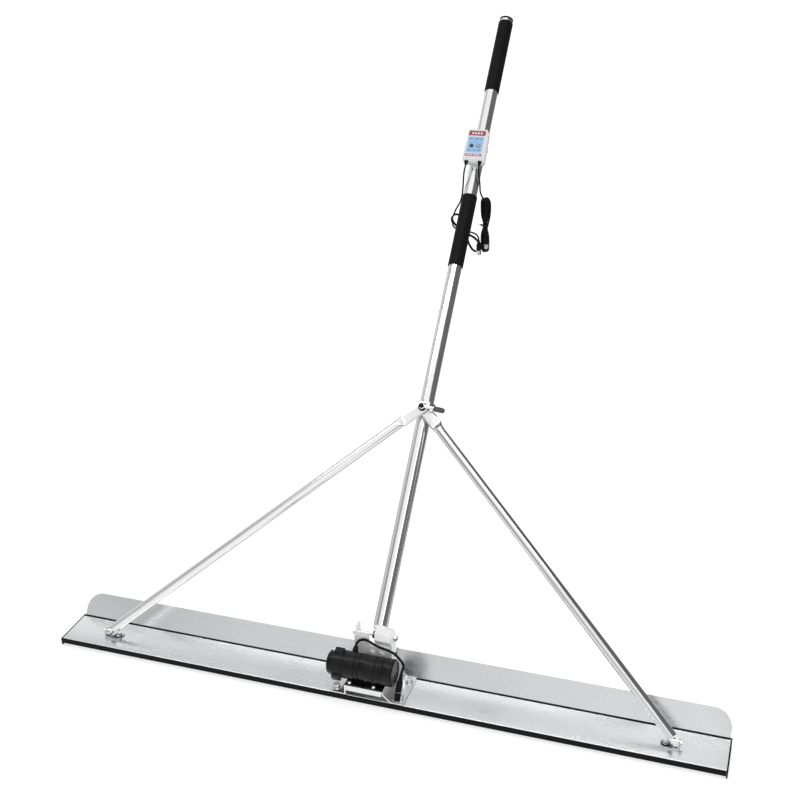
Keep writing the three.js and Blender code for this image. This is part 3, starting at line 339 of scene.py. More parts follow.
def piece(name, mesh, material, body, place=WORLD, bevel=0.0, smooth=32, segments=2):
    """Links a mesh as a piece of the object that rides on a body."""
    obj = bpy.data.objects.new(name, mesh)
    bpy.context.scene.collection.objects.link(obj)
    mesh.materials.clear()
    mesh.materials.append(material)
    mesh.shade_smooth()
    mesh.set_sharp_from_angle(angle=math.radians(smooth))
    obj.matrix_world = place
    if bevel:
        round_edges(obj, bevel, segments, smooth)
    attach(obj, body)
    return obj


def round_edges(obj, width, segments, angle):
    rounding = obj.modifiers.new("rounded_edges", "BEVEL")
    rounding.width = width * MM
    rounding.segments = segments
    rounding.limit_method = "ANGLE"
    rounding.angle_limit = math.radians(angle)
    rounding.harden_normals = True


def refined(node, material, bevel=0.4, place=WORLD, smooth=32, segments=2):
    """A CAD node with its faces merged and its edges rounded, in place of the faceted one."""
    work = bmesh.new()
    work.from_mesh(nodes[node].data)
    bmesh.ops.remove_doubles(work, verts=work.verts, dist=1e-6)
    bmesh.ops.dissolve_limit(
        work, angle_limit=math.radians(0.6), verts=work.verts, edges=work.edges
    )
    work.transform(place.inverted())
    mesh = bpy.data.meshes.new(f"{node}_finish")
    work.to_mesh(mesh)
    work.free()
    body = nodes[node]["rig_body"]
    obj = piece(f"{node}_finish", mesh, material, body, place, bevel, smooth, segments)
    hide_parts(node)
    return obj


def mesh_of(name, verts, faces):
    mesh = bpy.data.meshes.new(name)
    mesh.from_pydata([tuple(v) for v in verts], [], faces)
    work = bmesh.new()
    work.from_mesh(mesh)
    bmesh.ops.remove_doubles(work, verts=work.verts, dist=1e-6)
    bmesh.ops.dissolve_degenerate(work, edges=work.edges, dist=1e-7)
    bmesh.ops.recalc_face_normals(work, faces=work.faces)
    work.to_mesh(mesh)
    work.free()
    return mesh


def swept(rings, closed=False):
    """Faces between rings that have the same count of points; open ends are capped."""
    count = len(rings[0])
    verts = [point for ring in rings for point in ring]
    faces = []
    total = len(rings)
    for i in range(total if closed else total - 1):
        j = (i + 1) % total
        for k in range(count):
            n = (k + 1) % count
            faces.append((i * count + k, i * count + n, j * count + n, j * count + k))
    if not closed:
        faces.append(tuple(range(count))[::-1])
        faces.append(tuple(range((total - 1) * count, total * count)))
    return verts, faces


def turned(name, profile, segments=48):
    """A solid of (radius, height) points round +Z; it may start and end on the axis or be a ring."""
    closed = profile[0] == profile[-1]
    points = profile[:-1] if closed else profile
    verts, faces = [], []
    for radius, height in points:
        for k in range(segments):
            turn = 2 * math.pi * k / segments
            verts.append(mm(radius * math.cos(turn), radius * math.sin(turn), height))
    rows = len(points)
    for i in range(rows if closed else rows - 1):
        j = (i + 1) % rows
        for k in range(segments):
            n = (k + 1) % segments
            quad = (i * segments + k, i * segments + n, j * segments + n, j * segments + k)
            faces.append(quad)
    return mesh_of(name, verts, faces)


def facing(origin, direction, spin=0.0):
    """A placement whose +Z points along a direction."""
    turn = Vector(direction).to_track_quat("Z", "Y").to_matrix().to_4x4()
    return Matrix.Translation(origin) @ turn @ Matrix.Rotation(spin, 4, "Z")


def slab(name, outline, depth):
    """An outline of (x, y) points raised along +Z."""
    rings = [[mm(x, y, z) for x, y in outline] for z in (0, depth)]
    return mesh_of(name, *swept(rings))


def rounded_rectangle(width, height, radius, steps=6):
    points = []
    for corner in range(4):
        cx = (width / 2 - radius) * (1 if corner in (0, 3) else -1)
        cy = (height / 2 - radius) * (1 if corner in (0, 1) else -1)
        for step in range(steps + 1):
            angle = math.pi / 2 * (corner + step / steps)
            points.append((cx + radius * math.cos(angle), cy + radius * math.sin(angle)))
    return points


# ---- cords ----------------------------------------------------------------------------------


def smooth_line(points, spacing=2.0):
    """Points about `spacing` mm apart on a centripetal Catmull-Rom curve through the given ones."""
    given = [Vector(p) for p in points]
    ends = [2 * given[0] - given[1], *given, 2 * given[-1] - given[-2]]
    line = []
    for i in range(1, len(ends) - 2):
        p0, p1, p2, p3 = ends[i - 1 : i + 3]
        t0, t1 = 0.0, math.sqrt((p1 - p0).length)
        t2 = t1 + math.sqrt((p2 - p1).length)
        t3 = t2 + math.sqrt((p3 - p2).length)
        steps = max(1, round((p2 - p1).length / spacing))
        for step in range(steps):
            t = t1 + (t2 - t1) * step / steps
            a1 = p0 * ((t1 - t) / (t1 - t0)) + p1 * ((t - t0) / (t1 - t0))
            a2 = p1 * ((t2 - t) / (t2 - t1)) + p2 * ((t - t1) / (t2 - t1))
            a3 = p2 * ((t3 - t) / (t3 - t2)) + p3 * ((t - t2) / (t3 - t2))
            b1 = a1 * ((t2 - t) / (t2 - t0)) + a2 * ((t - t0) / (t2 - t0))
            b2 = a2 * ((t3 - t) / (t3 - t1)) + a3 * ((t - t1) / (t3 - t1))
            line.append(b1 * ((t2 - t) / (t2 - t1)) + b2 * ((t - t1) / (t2 - t1)))
    return [*line, given[-1]]


def cord_curve(name, line, diameter, material, body):
    curve = bpy.data.curves.new(name, "CURVE")
    curve.dimensions = "3D"
    curve.bevel_depth = diameter / 2 * MM
    curve.bevel_resolution = 5
    curve.use_fill_caps = True
    spline = curve.splines.new("POLY")
    spline.points.add(len(line) - 1)
    for point, place in zip(spline.points, line):
        point.co = (*(place * MM), 1)
    spline.use_smooth = True
    curve.materials.append(material)
    obj = bpy.data.objects.new(name, curve)
    bpy.context.scene.collection.objects.link(obj)
    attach(obj, body)
    return obj


class Hank:
    """Turns of a cord beside each other, pinched at mid length by a tie.

    In the hank's own frame, X is its width, Y its thickness and Z its length.
    """

    PITCH = 4.3
    WAIST = 2.25  # half width of one side where the tie pinches it
    PINCH_REACH = 17
    STEPS = 12  # of each half turn and each straight run

    def __init__(self, centre, length, half, layers, turn, lean, sign):
        self.radius = half - LEAD / 2
        self.reach = length / 2 - half
        self.layers = layers
        self.sign = sign  # the side that the cord goes down
        spin = Matrix.Rotation(math.radians(lean), 4, "Y")
        spin @= Matrix.Rotation(math.radians(turn), 4, "Z")
        self.frame = Matrix.Translation(Vector(centre)) @ spin

    def depth(self, layer):
        return self.sign * ((self.layers - 1) / 2 - layer) * -self.PITCH

    def half_width(self, z):
        pinch = 1 - self.WAIST / self.radius
        return self.radius * (1 - pinch * math.exp(-((z / self.PINCH_REACH) ** 2)))

    def arc(self, centre, start, end, y_start, y_end):
        points = []
        for step in range(self.STEPS + 1):
            part = step / self.STEPS
            angle = math.radians(start + (end - start) * part)
            blend = part * part * (3 - 2 * part)
            x = self.sign * self.radius * math.cos(angle)
            z = centre + self.radius * math.sin(angle)
            points.append((x, y_start + (y_end - y_start) * blend, z))
        return points

    def run(self, side, start, end, y):
        heights = [start + (end - start) * step / self.STEPS for step in range(1, self.STEPS)]
        return [(self.sign * side * self.half_width(z), y, z) for z in heights]

    def turns(self):
        """From just past the top to the same place on the last layer."""
        high = self.reach
        points = self.arc(high, 72, 0, self.depth(0), self.depth(0))
        for layer in range(self.layers - 1):
            y, y_next = self.depth(layer), self.depth(layer + 1)
            points += self.run(1, high, -high, y)
            points += self.arc(-high, 0, -180, y, y_next)
            points += self.run(-1, -high, high, y_next)
            points += self.arc(high, 180, 0, y_next, y_next)
        return [tuple(self.frame @ Vector(point)) for point in points]

    def place(self):
        """The frame in metres."""
        return Matrix.Translation(self.frame.translation * MM) @ self.frame.to_3x3().to_4x4()


HANK_LEFT = Hank((-8, 770, 798), length=110, half=15, layers=3, turn=0, lean=-36, sign=-1)
HANK_RIGHT = Hank((31.5, 797, 812.5), length=137, half=15, layers=4, turn=-41, lean=0, sign=1)

MOTOR_LEAD_LINE = smooth_line([
    (-40, 11.85, 102.85),
    (-40, 14.6, 105.6),
    (-37.6, 18.6, 109.4),
    (-32, 21.8, 112),
    (-24, 22.8, 113.2),
    (-14, 21.2, 112.3),
    (-4, 18.2, 110),
    (8, 15.5, 107.5),
    (21, 14, 105.5),
    (35, 12.4, 103.5),
    (48, 8.6, 101),
    (60, 2, 97),
    (69, -3, 91.5),
    (72.5, -5, 85.5),
    (71.8, -7, 80),
    (70, -10, 75),
    (70, -13.5, 71),
])

LEFT_LINE = smooth_line([
    (-16.5, 795.1, 959.8),
    (-16.6, 791.4, 955.9),
    (-17.8, 788.6, 949),
    (-19, 787.2, 939),
    (-19.8, 786.4, 926),
    (-20.6, 784.8, 908),
    (-21.2, 783.4, 896),
    (-22.6, 781.6, 884),
    (-26, 779.4, 872),
    (-31.2, 777, 861.5),
    (-36.5, 775, 852),
    *HANK_LEFT.turns(),
    (-39.5, 763.5, 815),
    (-30, 761, 808.5),
    (-18, 759, 806),
    (-4, 757.5, 805.5),
    (9, 756, 804.5),
    (19, 755.2, 801.5),
    (25, 755, 795.5),
    (27, 755, 789.5),
    (27, 755, 786),
])

RIGHT_LINE = smooth_line([
    (16.5, 795.1, 959.8),
    (16.5, 791.4, 955.9),
    (16.9, 789.6, 949),
    (17.8, 790.2, 937),
    (18.8, 792, 922),
    (19.2, 794.2, 909),
    (19, 796, 899),
    (20.2, 796.9, 890.5),
    (23.6, 795.4, 885),
    *HANK_RIGHT.turns(),
    (46.6, 790.4, 857),
    (47.2, 785, 845),
    (46.4, 779.5, 832),
    (44.2, 774.6, 819),
    (42.4, 772.3, 808),
    (42, 772, 798),
])

motor_lead = cord_curve("motor_lead_cord", MOTOR_LEAD_LINE, MOTOR_LEAD, cord_rubber, "blade")
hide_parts("motor_lead")
lead_left = cord_curve("lead_left_cord", LEFT_LINE, LEAD, cord_rubber, "handle")
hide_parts("lead_left", "hank_left")
lead_right = cord_curve("lead_right_cord", RIGHT_LINE, LEAD, cord_rubber, "handle")
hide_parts("lead_right", "hank_right")

# ---- blade ----------------------------------------------------------------------------------


BEND_STEPS = 5
CORNER_STEPS = 12
BLADE_COLUMNS = 24  # along the blade


def bend_path(corners, radius):
    """(y, z) corners with each inner corner rounded."""
    path = [Vector(corners[0])]
    for before, corner, after in zip(corners, corners[1:], corners[2:]):
        here = Vector(corner)
        into, out = (here - Vector(before)).normalized(), (Vector(after) - here).normalized()
        half = into.angle(out) / 2
        reach = radius * math.tan(half)
        start = here - into * reach
        centre = start + Vector((-into.y, into.x)) * radius * (1 if into.cross(out) > 0 else -1)
        arm = start - centre
        turn = 2 * half * (1 if into.cross(out) > 0 else -1)
        for step in range(BEND_STEPS + 1):
            angle = turn * step / BEND_STEPS
            cos, sin = math.cos(angle), math.sin(angle)
            path.append(centre + Vector((arm.x * cos - arm.y * sin, arm.x * sin + arm.y * cos)))
    return [*path, Vector(corners[-1])]


def blade_sheet():
    """The folded sheet: hem, top plate, front wall, sole, and the flange with round corners."""
    outer = bend_path(
        [
            (PLATE_REAR, BLADE_HEIGHT - HEM),
            (PLATE_REAR, BLADE_HEIGHT),
            (BLADE_FRONT, BLADE_HEIGHT),
            (BLADE_FRONT, 0),
            (FLANGE_FOOT, 0),
            (FLANGE_Y + FLANGE_BACK, BLADE_HEIGHT + FLANGE_RISE),
        ],
        BEND,
    )
    slope = Vector((FLANGE_Y + FLANGE_BACK - FLANGE_FOOT, BLADE_HEIGHT + FLANGE_RISE))
    top = outer[-1]
    upward = slope.normalized()
    for step in range(1, CORNER_STEPS + 1):
        angle = math.radians(90 * step / CORNER_STEPS)
        drop = FLANGE_CORNER * (1 - math.sin(angle))
        outer.insert(-1, top - upward * drop)
    outer.insert(-CORNER_STEPS - 1, top - upward * FLANGE_CORNER)
    inner = []
    for i, point in enumerate(outer):
        after = outer[min(i + 1, len(outer) - 1)]
        before = outer[max(i - 1, 0)]
        along = (after - before).normalized()
        inner.append(point + Vector((-along.y, along.x)) * SHEET)

    def half_length(point):
        below = (top - point).dot(upward)
        if below >= FLANGE_CORNER or point.x < FLANGE_FOOT:
            return BLADE_HALF
        rise = FLANGE_CORNER - max(below, 0)
        return BLADE_HALF - FLANGE_CORNER + math.sqrt(max(FLANGE_CORNER**2 - rise**2, 0))

    section = [(p, half_length(p)) for p in outer]
    section += [(q, half_length(p)) for p, q in reversed(list(zip(outer, inner)))]
    rings = []
    for column in range(BLADE_COLUMNS + 1):
        part = 2 * column / BLADE_COLUMNS - 1
        rings.append([mm(half * part, point.x, point.y) for point, half in section])
    verts, faces = swept(rings)
    faces = faces[:-2]
    count, rows = len(section), len(outer)
    for base in (0, BLADE_COLUMNS * count):
        for k in range(rows - 1):
            faces.append((base + k, base + k + 1, base + count - 2 - k, base + count - 1 - k))
    return mesh_of("blade_sheet", verts, faces)


blade = piece("blade_sheet", blade_sheet(), sheet_steel, "blade", smooth=40)
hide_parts("blade_shell")
# The front strip is a black band on the front wall, painted shade where the sheet is in shadow.
refined("front_strip", front_shade_black, bevel=0.6)
# The seam strip is a black strip put in the gap behind the top plate, painted shade where the gap is
# in shadow.
refined("seam_strip", black_rubber_and_seam_shade, bevel=0.3)
for side in ("left", "right"):
    refined(f"end_cap_{side}", cap_plastic, bevel=0.7)
    refined(f"brace_lug_{side}", zinc, bevel=0.5)
    refined(f"brace_pivot_{side}", zinc, bevel=0.4)
    refined(f"lug_screw_{side}", zinc, bevel=0.35)

# ---- bridge, motor and tilt bracket ---------------------------------------------------------

refined("motor_bridge", bridge_steel, bevel=0.8, segments=3, smooth=25)
for number in range(1, 5):
    refined(f"bridge_bolt_{number}", zinc, bevel=0.4)
for number in (1, 2):
    refined(f"foot_bolt_{number}", bright, bevel=0.35)
    refined(f"tilt_bolt_{number}", white_zinc, bevel=0.35)
refined("motor_housing", motor_paint, bevel=0.5)
refined("motor_cap_left", motor_paint, bevel=0.7)
refined("motor_cap_right", motor_paint, bevel=0.7)
refined("motor_gland", cap_plastic, bevel=0.4, smooth=40)
refined("tilt_bracket", alloy, bevel=0.6)
refined("pivot_bolt", zinc, bevel=0.5)
refined("pivot_nut", zinc, bevel=0.5)
refined("pivot_lock_nut", dark_steel, bevel=0.6)

# What is shut inside the motor keeps its CAD shape.
for node, material in {
    "stator": copper,
    "bearing_left": zinc,
    "bearing_right": zinc,
    "rotor_shaft": bright,
    "rotor_core": dark_steel,
    "eccentric_weight_left": dark_steel,
    "eccentric_weight_right": dark_steel,
}.items():
    nodes[node].data.materials.clear()
    nodes[node].data.materials.append(material)


def cap_screw(name, origin, direction, size, material, body):
    """A socket head screw: a rounded head with a six-sided recess, standing on a washer."""
    rim = height = size * 0.9
    washer, washer_height = size * 1.1, 0.6
    outer = [math.radians(15 * k) for k in range(24)]
    rings = []
    for radius, z in (
        (washer, 0),
        (washer, washer_height),
        (rim, washer_height),
        (rim, height - 0.3),
    ):
        rings.append([(radius * math.cos(a), radius * math.sin(a), z) for a in outer])
    rings.append([((rim - 0.4) * math.cos(a), (rim - 0.4) * math.sin(a), height) for a in outer])
    recess = size * 0.45
    for z in (height, height * 0.45):
        ring = []
        for a in outer:
            face = math.cos(math.pi / 6) / math.cos((a % (math.pi / 3)) - math.pi / 6)
            ring.append((recess * face * math.cos(a), recess * face * math.sin(a), z))
        rings.append(ring)
    verts, faces = swept([[mm(*p) for p in ring] for ring in rings])
    mesh = mesh_of(name, verts, faces)
    return piece(name, mesh, material, body, facing(origin, direction), smooth=40)


for number, angle in enumerate((90, 210, 330), start=1):
    turn = math.radians(angle)
    y = MOTOR_Y + BELL_SCREW_CIRCLE * math.cos(turn)
    z = MOTOR_Z + BELL_SCREW_CIRCLE * math.sin(turn)
    origin = mm(BELL_FACE, y, z)
    cap_screw(f"bell_screw_{number}", origin, (-1, 0, 0), 4, zinc, "blade")

cap_screw("ear_screw", mm(*EAR_CROWN), (-1, 0, 0), 4.5, bright, "blade")
for side, sign in (("left", -1), ("right", 1)):
    rim = turned(f"lug_ring_{side}", [(6.6, 0), (9.2, 0), (9.2, 0.8), (6.6, 0.8), (6.6, 0)])
    seat = Matrix.Translation(mm(LUG_SCREW[0] * sign, LUG_SCREW[1], BLADE_HEIGHT + 3.4))
    piece(f"lug_ring_{side}", rim, black_rubber_and_seam_shade, "blade", seat)

# ---- pole, grips, clamp and lever -----------------------------------------------------------

refined("pole_yoke", alloy, bevel=0.8, place=HANDLE, segments=3)
refined("pole_tube", tube_steel, bevel=0, place=HANDLE)
refined("pole_cap", cap_plastic, bevel=0.5, place=HANDLE)
refined("junction_clamp", zinc, bevel=0.7, place=HANDLE)
refined("junction_bolt", black_steel, bevel=0.4, place=HANDLE)
LEVER = HANDLE @ Matrix.Translation(mm(0, LEVER_REST, JUNCTION))
LEVER @= Matrix.Rotation(math.pi / 2, 4, "X") @ Matrix.Rotation(math.radians(LEVER_TURN), 4, "Z")
refined("junction_lever", bright, bevel=0.3, place=LEVER, smooth=40)


def lever_sleeve():
    """The soft sleeve over the lever's rounded end, along +X."""
    half = 5.7
    start = LEVER_LENGTH - 21
    corner = [(start + 2, half), (start + 0.6, half - 0.6), (start, half - 2)]
    outline = [*corner, *[(x, -y) for x, y in reversed(corner)]]
    for step in range(15):
        angle = math.radians(-90 + 180 * step / 14)
        outline.append((LEVER_LENGTH + half * math.cos(angle), half * math.sin(angle)))
    return slab("lever_sleeve", outline, 7.6)


sleeve_place = LEVER @ Matrix.Translation(mm(0, 0, -1.8))
piece(
    "lever_sleeve",
    lever_sleeve(),
    sleeve_plastic,
    "lever",
    sleeve_place,
    bevel=1.6,
    segments=4,
    smooth=50,
)
hub_line = [(4.3, 5.2), (5.8, 5.2), (5.8, 7), (5.2, 8.6), (4, 9.6), (2, 10.2), (0, 10.4)]
hub_line += [(0, 8.5), (4.3, 8.5)]
hub = turned("lever_hub", [*hub_line, hub_line[0]])
piece("lever_hub", hub, black_steel, "lever", LEVER, smooth=40)


def sleeve(start, end):
    """A foam grip: a slight swell at each end, a rolled edge, and a wall onto the tube."""
    inner, outer = GRIP_BORE, GRIP_RADIUS
    roll = 1.6
    steps = 24
    profile = [(inner, start), (outer - 1, start), (outer - 0.25, start + 0.5), (outer, start + roll)]
    for step in range(1, steps):
        along = start + roll + (end - start - 2 * roll) * step / steps
        near = min(step, steps - step)
        profile.append((outer - (0.12 if near > 1 else 0.03 * near), along))
    profile += [(outer, end - roll), (outer - 0.25, end - 0.5), (outer - 1, end), (inner, end)]
    return [*profile, profile[0]]


for name, (start, end) in GRIPS.items():
    mesh = turned(f"{name}_sleeve", sleeve(start, end), segments=64)
    grip = piece(f"{name}_sleeve", mesh, grip_rubber, "handle", HANDLE, smooth=60)
    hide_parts(name)

# ---- braces ---------------------------------------------------------------------------------


def tube_steel_shaded_flats(name, length):
    """Tube steel that is rougher at its flattened upper end, with a darker grey painted there as
    shade.
    """
    finish = tube_finish(name)
    shaded_flat_end = finish.between(finish.coordinate("Z"), 0, 1, length - 0.06, length - 0.05)
    # Painted shade: the flattened end is tinted a darker grey.
    finish.tint(shaded_flat_end, (0.82, 0.82, 0.82))
    return finish.rough(shaded_flat_end, 0.06, 0, 1).material


for side, sign in (("left", -1), ("right", 1)):
    foot = mm(BRACE_FOOT[0] * sign, *BRACE_FOOT[1:])
    tip = HANDLE @ mm(0, BRACE_FLATS, JUNCTION)
    steel = tube_steel_shaded_flats(f"brace_steel_{side}", (tip - foot).length)
    place = facing(foot, tip - foot)
    refined(f"brace_{side}", steel, bevel=0.25, place=place, smooth=28)

# ---- controller -----------------------------------------------------------------------------

refined("controller_front", case_plastic, bevel=1.6, place=HANDLE, segments=4)
refined("controller_back", case_base, bevel=0.8, place=HANDLE, segments=3)
refined("controller_clamp", zinc, bevel=0.4, place=HANDLE)
for side in ("left", "right"):
    refined(f"lead_gland_{side}", cap_plastic, bevel=0.25, place=HANDLE, smooth=40)
refined("button_power", button_navy, bevel=0.4, place=HANDLE)
refined("button_speed", button_grey, bevel=0.4, place=HANDLE)


def on_face(x, along, lift=0.0):
    """A placement on the controller's front: +X across, +Y up the pole, +Z out of the face."""
    turn = Matrix.Rotation(math.pi / 2, 4, "X")
    return HANDLE @ Matrix.Translation(mm(x, -BOX_FRONT - lift, BOX_START + along)) @ turn


def film(name, x, along, width, height, material, lift=0.02, radius=1.0, thick=0.25, hole=()):
    """A thin printed film stuck on the face, with round holes for the buttons."""
    outline = rounded_rectangle(width, height, radius)
    work = bmesh.new()
    loops = [[work.verts.new(mm(px, py, 0)) for px, py in outline]]
    for hx, hy, hr in hole:
        steps = 28
        ring = []
        for k in range(steps):
            turn = 2 * math.pi * k / steps
            ring.append(work.verts.new(mm(hx + hr * math.cos(turn), hy + hr * math.sin(turn), 0)))
        loops.append(ring)
    edges = []
    for loop in loops:
        edges += [work.edges.new((a, b)) for a, b in zip(loop, [*loop[1:], loop[0]])]
    bmesh.ops.triangle_fill(work, edges=edges, use_beauty=True, use_dissolve=False)
    top = bmesh.ops.extrude_face_region(work, geom=list(work.faces))
    raised = [v for v in top["geom"] if isinstance(v, bmesh.types.BMVert)]
    bmesh.ops.translate(work, verts=raised, vec=mm(0, 0, thick))
    bmesh.ops.recalc_face_normals(work, faces=work.faces)
    mesh = bpy.data.meshes.new(name)
    work.to_mesh(mesh)
    work.free()
    place = on_face(x, along, lift)
    return piece(name, mesh, material, "handle", place, bevel=0.06, smooth=30)


def button_holes(along):
    """Holes for both buttons in a film whose middle is this far above the lower end."""
    x, up = BUTTONS
    return [(-x, up - along, 5.2), (x, up - along, 5.2)]


film("face_label", 0, 40.5, 43, 74, panel_white, radius=2.2, hole=button_holes(40.5))
film("label_band", 0, 70, 41, 13, panel_red, lift=0.28, thick=0.12)
film(
    "key_panel",
    0,
    39,
    38,
    43,
    panel_blue,
    lift=0.28,
    thick=0.14,
    radius=1.6,
    hole=button_holes(39),
)
film("foot_band", 0, 11, 41, 7, panel_pink, lift=0.28, thick=0.12)


def mark(name, x, along, width, height, material=panel_white, radius=0.6, lift=0.41):
    """A small raised print on one of the films."""
    film(name, x, along, width, height, material, lift=lift, thick=0.06, radius=radius)


for number, x in enumerate((-15, -9.5, -4, 3, 8.5, 14)):
    mark(f"foot_mark_{number}", x, 11, 3.6, 3.4)
for number, x in enumerate((-10.5, -3.5, 3.5, 10.5)):
    mark(f"band_mark_{number}", x, 70, 4.6, 5, radius=0.8)
KEY_MARKS = [(-13, 55, 7), (2, 55, 10), (13, 54, 4), (-13, 24, 7), (1, 24, 5), (11, 24, 8), (0, 47, 3)]
for number, (x, along, width) in enumerate(KEY_MARKS):
    mark(f"key_mark_{number}", x, along, width, 1.5, button_navy, lift=0.43)

for number, x in enumerate((-21.3, 21.3)):
    origin = HANDLE @ mm(x, -9.7, BOX_START + BOX_HEIGHT / 2)
    outward = HANDLE.to_3x3() @ Vector((0, 1, 0))
    cap_screw(f"strap_screw_{number + 1}", origin, outward, 3, zinc, "handle")

# ---- plugs, connector and cable ties --------------------------------------------------------


def ribbed_plug(name, tail, face, radius, ribs):
    """A moulded plug: a ribbed strain relief and a round body that steps in at its face."""
    axis = Vector(face) - Vector(tail)
    length = axis.length
    profile = [(0, 0.3), (radius * 0.46, 0.3)]
    relief = length * 0.26
    for rib in range(ribs):
        low = 0.3 + relief * rib / ribs
        step = relief / ribs
        swell = radius * (0.5 + 0.24 * (rib + 1) / ribs)
        profile += [(swell, low + step * 0.15), (swell, low + step * 0.6)]
        profile += [(swell * 0.84, low + step * 0.7), (swell * 0.84, low + step * 0.98)]
    profile += [
        (radius * 0.92, relief + 0.8),
        (radius, relief + 1.8),
        (radius, length * 0.66),
        (radius * 0.88, length * 0.675),
        (radius * 0.88, length * 0.69),
    ]
    body = turned(name, [*profile, (0, length * 0.69)], segments=40)
    return body, length, facing(Vector(tail) * MM, axis)


def collar(name, radius, start, end, material, body, place):
    """A coupling ring with a knurled grip and an open socket."""
    teeth = 36
    rings = []
    for r, z in (
        (radius * 0.98, start),
        (radius * 1.05, start + 0.5),
        (radius * 1.05, end - 2.2),
        (radius * 0.95, end - 1.6),
        (radius * 0.95, end),
        (radius * 0.66, end),
        (radius * 0.66, start + 2),
    ):
        ring = []
        for k in range(teeth * 2):
            turn = math.pi * k / teeth
            knurl = 0.22 if k % 2 and start < z < end - 2 else 0
            ring.append(mm((r - knurl) * math.cos(turn), (r - knurl) * math.sin(turn), z))
        rings.append(ring)
    mesh = mesh_of(name, *swept(rings))
    return piece(name, mesh, material, body, place, smooth=30)


def tie(name, place, width, depth, body, tail=(1, 0), tail_length=9):
    """A nylon cable tie drawn round a bundle: a flat band, its lock and the cut tail."""
    outline = rounded_rectangle(width, depth, min(width, depth) * 0.42, steps=5)
    half, thick = 1.3, 0.9
    band = []
    for x, y in outline:
        out = Vector((x, y)).normalized() * thick
        wide = (x + out.x, y + out.y)
        band.append([mm(x, y, -half), mm(x, y, half), mm(*wide, half), mm(*wide, -half)])
    strap = mesh_of(name, *swept(band, closed=True))
    side = Vector((*tail, 0)).normalized()
    edge = side * (abs(side.x) * width / 2 + abs(side.y) * depth / 2 + 0.6)
    lock = slab(f"{name}_lock", rounded_rectangle(4.4, 3.4, 0.7), 4)
    lock_place = place @ Matrix.Translation(mm(edge.x, edge.y, -2))
    end_outline = [(-1.1, 0), (1.1, 0), (1.0, tail_length), (-0.6, tail_length)]
    end = slab(f"{name}_tail", end_outline, 0.7)
    outward = Matrix.Rotation(math.atan2(-side.x, side.y), 4, "Z")
    end_place = place @ Matrix.Translation(mm(edge.x, edge.y, -0.35)) @ outward
    return [
        piece(name, strap, tie_nylon, body, place, bevel=0.2),
        piece(f"{name}_lock", lock, tie_nylon, body, lock_place, bevel=0.35),
        piece(f"{name}_tail", end, tie_nylon, body, end_place, bevel=0.15),
    ]


for key, tail, face, radius, body in (
    ("motor_connector", (70, -13.5, 71), (71, -51, 27.5), 6.5, "blade"),
    ("lead_plug_left", (27, 755, 786), (27, 755, 750), 5.8, "handle"),
    ("lead_plug_right", (42, 772, 798), (42, 772, 762), 5.8, "handle"),
):
    mesh, length, place = ribbed_plug(f"{key}_body", tail, face, radius, ribs=5)
    moulding = piece(f"{key}_body", mesh, cap_plastic, body, place, smooth=40)
    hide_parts(key)
    metal = key != "motor_connector"
    ring = collar(
        f"{key}_collar",
        radius,
        length * 0.7,
        length,
        bright if metal else cap_plastic,
        body,
        place,
    )

left_ties = tie("hank_tie_left", HANK_LEFT.place(), 8.8, 13, "handle", tail=(1, -1))
right_ties = tie("hank_tie_right", HANK_RIGHT.place(), 8.8, 17.3, "handle", tail=(-1, -1))
strain_tie = tie(
    "motor_lead_tie",
    facing(mm(50, 7.9, 100.6), Vector((12.5, -6, -3.8))),
    MOTOR_LEAD + 0.2,
    MOTOR_LEAD + 0.2,
    "blade",
    tail=(0.2, 1),
    tail_length=17,
)

# ---- floor, light and world -----------------------------------------------------------------


FLOOR_HALF = 30  # metres


def studio_floor():
    """Pale paper that is not seen in the metal, where the world's panels show instead."""
    corners = [(x * FLOOR_HALF, y * FLOOR_HALF, 0) for x, y in ((-1, -1), (1, -1), (1, 1), (-1, 1))]
    mesh = mesh_of("floor", corners, [(0, 1, 2, 3)])
    floor = bpy.data.objects.new("floor", mesh)
    bpy.context.scene.collection.objects.link(floor)
    paper = Finish("floor_paper", (0.93, 0.93, 0.93), 0.9, Emission_Strength=0.36)
    paper.set("Emission Color", (1, 1, 1, 1))
    mesh.materials.append(paper.material)
    floor.visible_glossy = False


def soft_light(name, place, target, size, power):
    data = bpy.data.lights.new(name, "AREA")
    data.shape = "RECTANGLE"
    data.size, data.size_y = size
    data.energy = power
    light = bpy.data.objects.new(name, data)
    bpy.context.scene.collection.objects.link(light)
    light.matrix_world = facing(Vector(place), Vector(place) - Vector(target))


def reflected_card(name, corners, level):
    """A card of an even brightness that is only seen in the metal."""
    mesh = mesh_of(name, [Vector(corner) for corner in corners], [tuple(range(len(corners)))])
    card = bpy.data.objects.new(name, mesh)
    bpy.context.scene.collection.objects.link(card)
    paper = bpy.data.materials.new(name)
    paper.use_nodes = True
    paper.node_tree.nodes.clear()
    glow = paper.node_tree.nodes.new("ShaderNodeEmission")
    glow.inputs["Color"].default_value = (level, level, level, 1)
    output = paper.node_tree.nodes.new("ShaderNodeOutputMaterial")
    paper.node_tree.links.new(glow.outputs["Emission"], output.inputs["Surface"])
    mesh.materials.append(paper)
    card.visible_camera = False
    card.visible_diffuse = False
    card.visible_shadow = False


# Grey levels of the panels round the object: (the direction's X, level).
FRONT_PANELS = [
    (-1, 0.3),
    (-0.5, 0.3),
    (-0.38, 1.0),
    (-0.25, 0.5),
    (-0.105, 0.8),
    (0.1, 0.97),
    (1, 0.97),
]
REAR_PANELS = [
    (-1, 0.8),
    (-0.5, 0.98),
    (-0.4, 0.74),
    (-0.236, 0.46),
    (-0.105, 0.94),
    (0.1, 0.95),
    (1, 0.85),
]
OVERHEAD = 0.93
BELOW_FRONT = 0.95
BELOW_REAR = 0.5


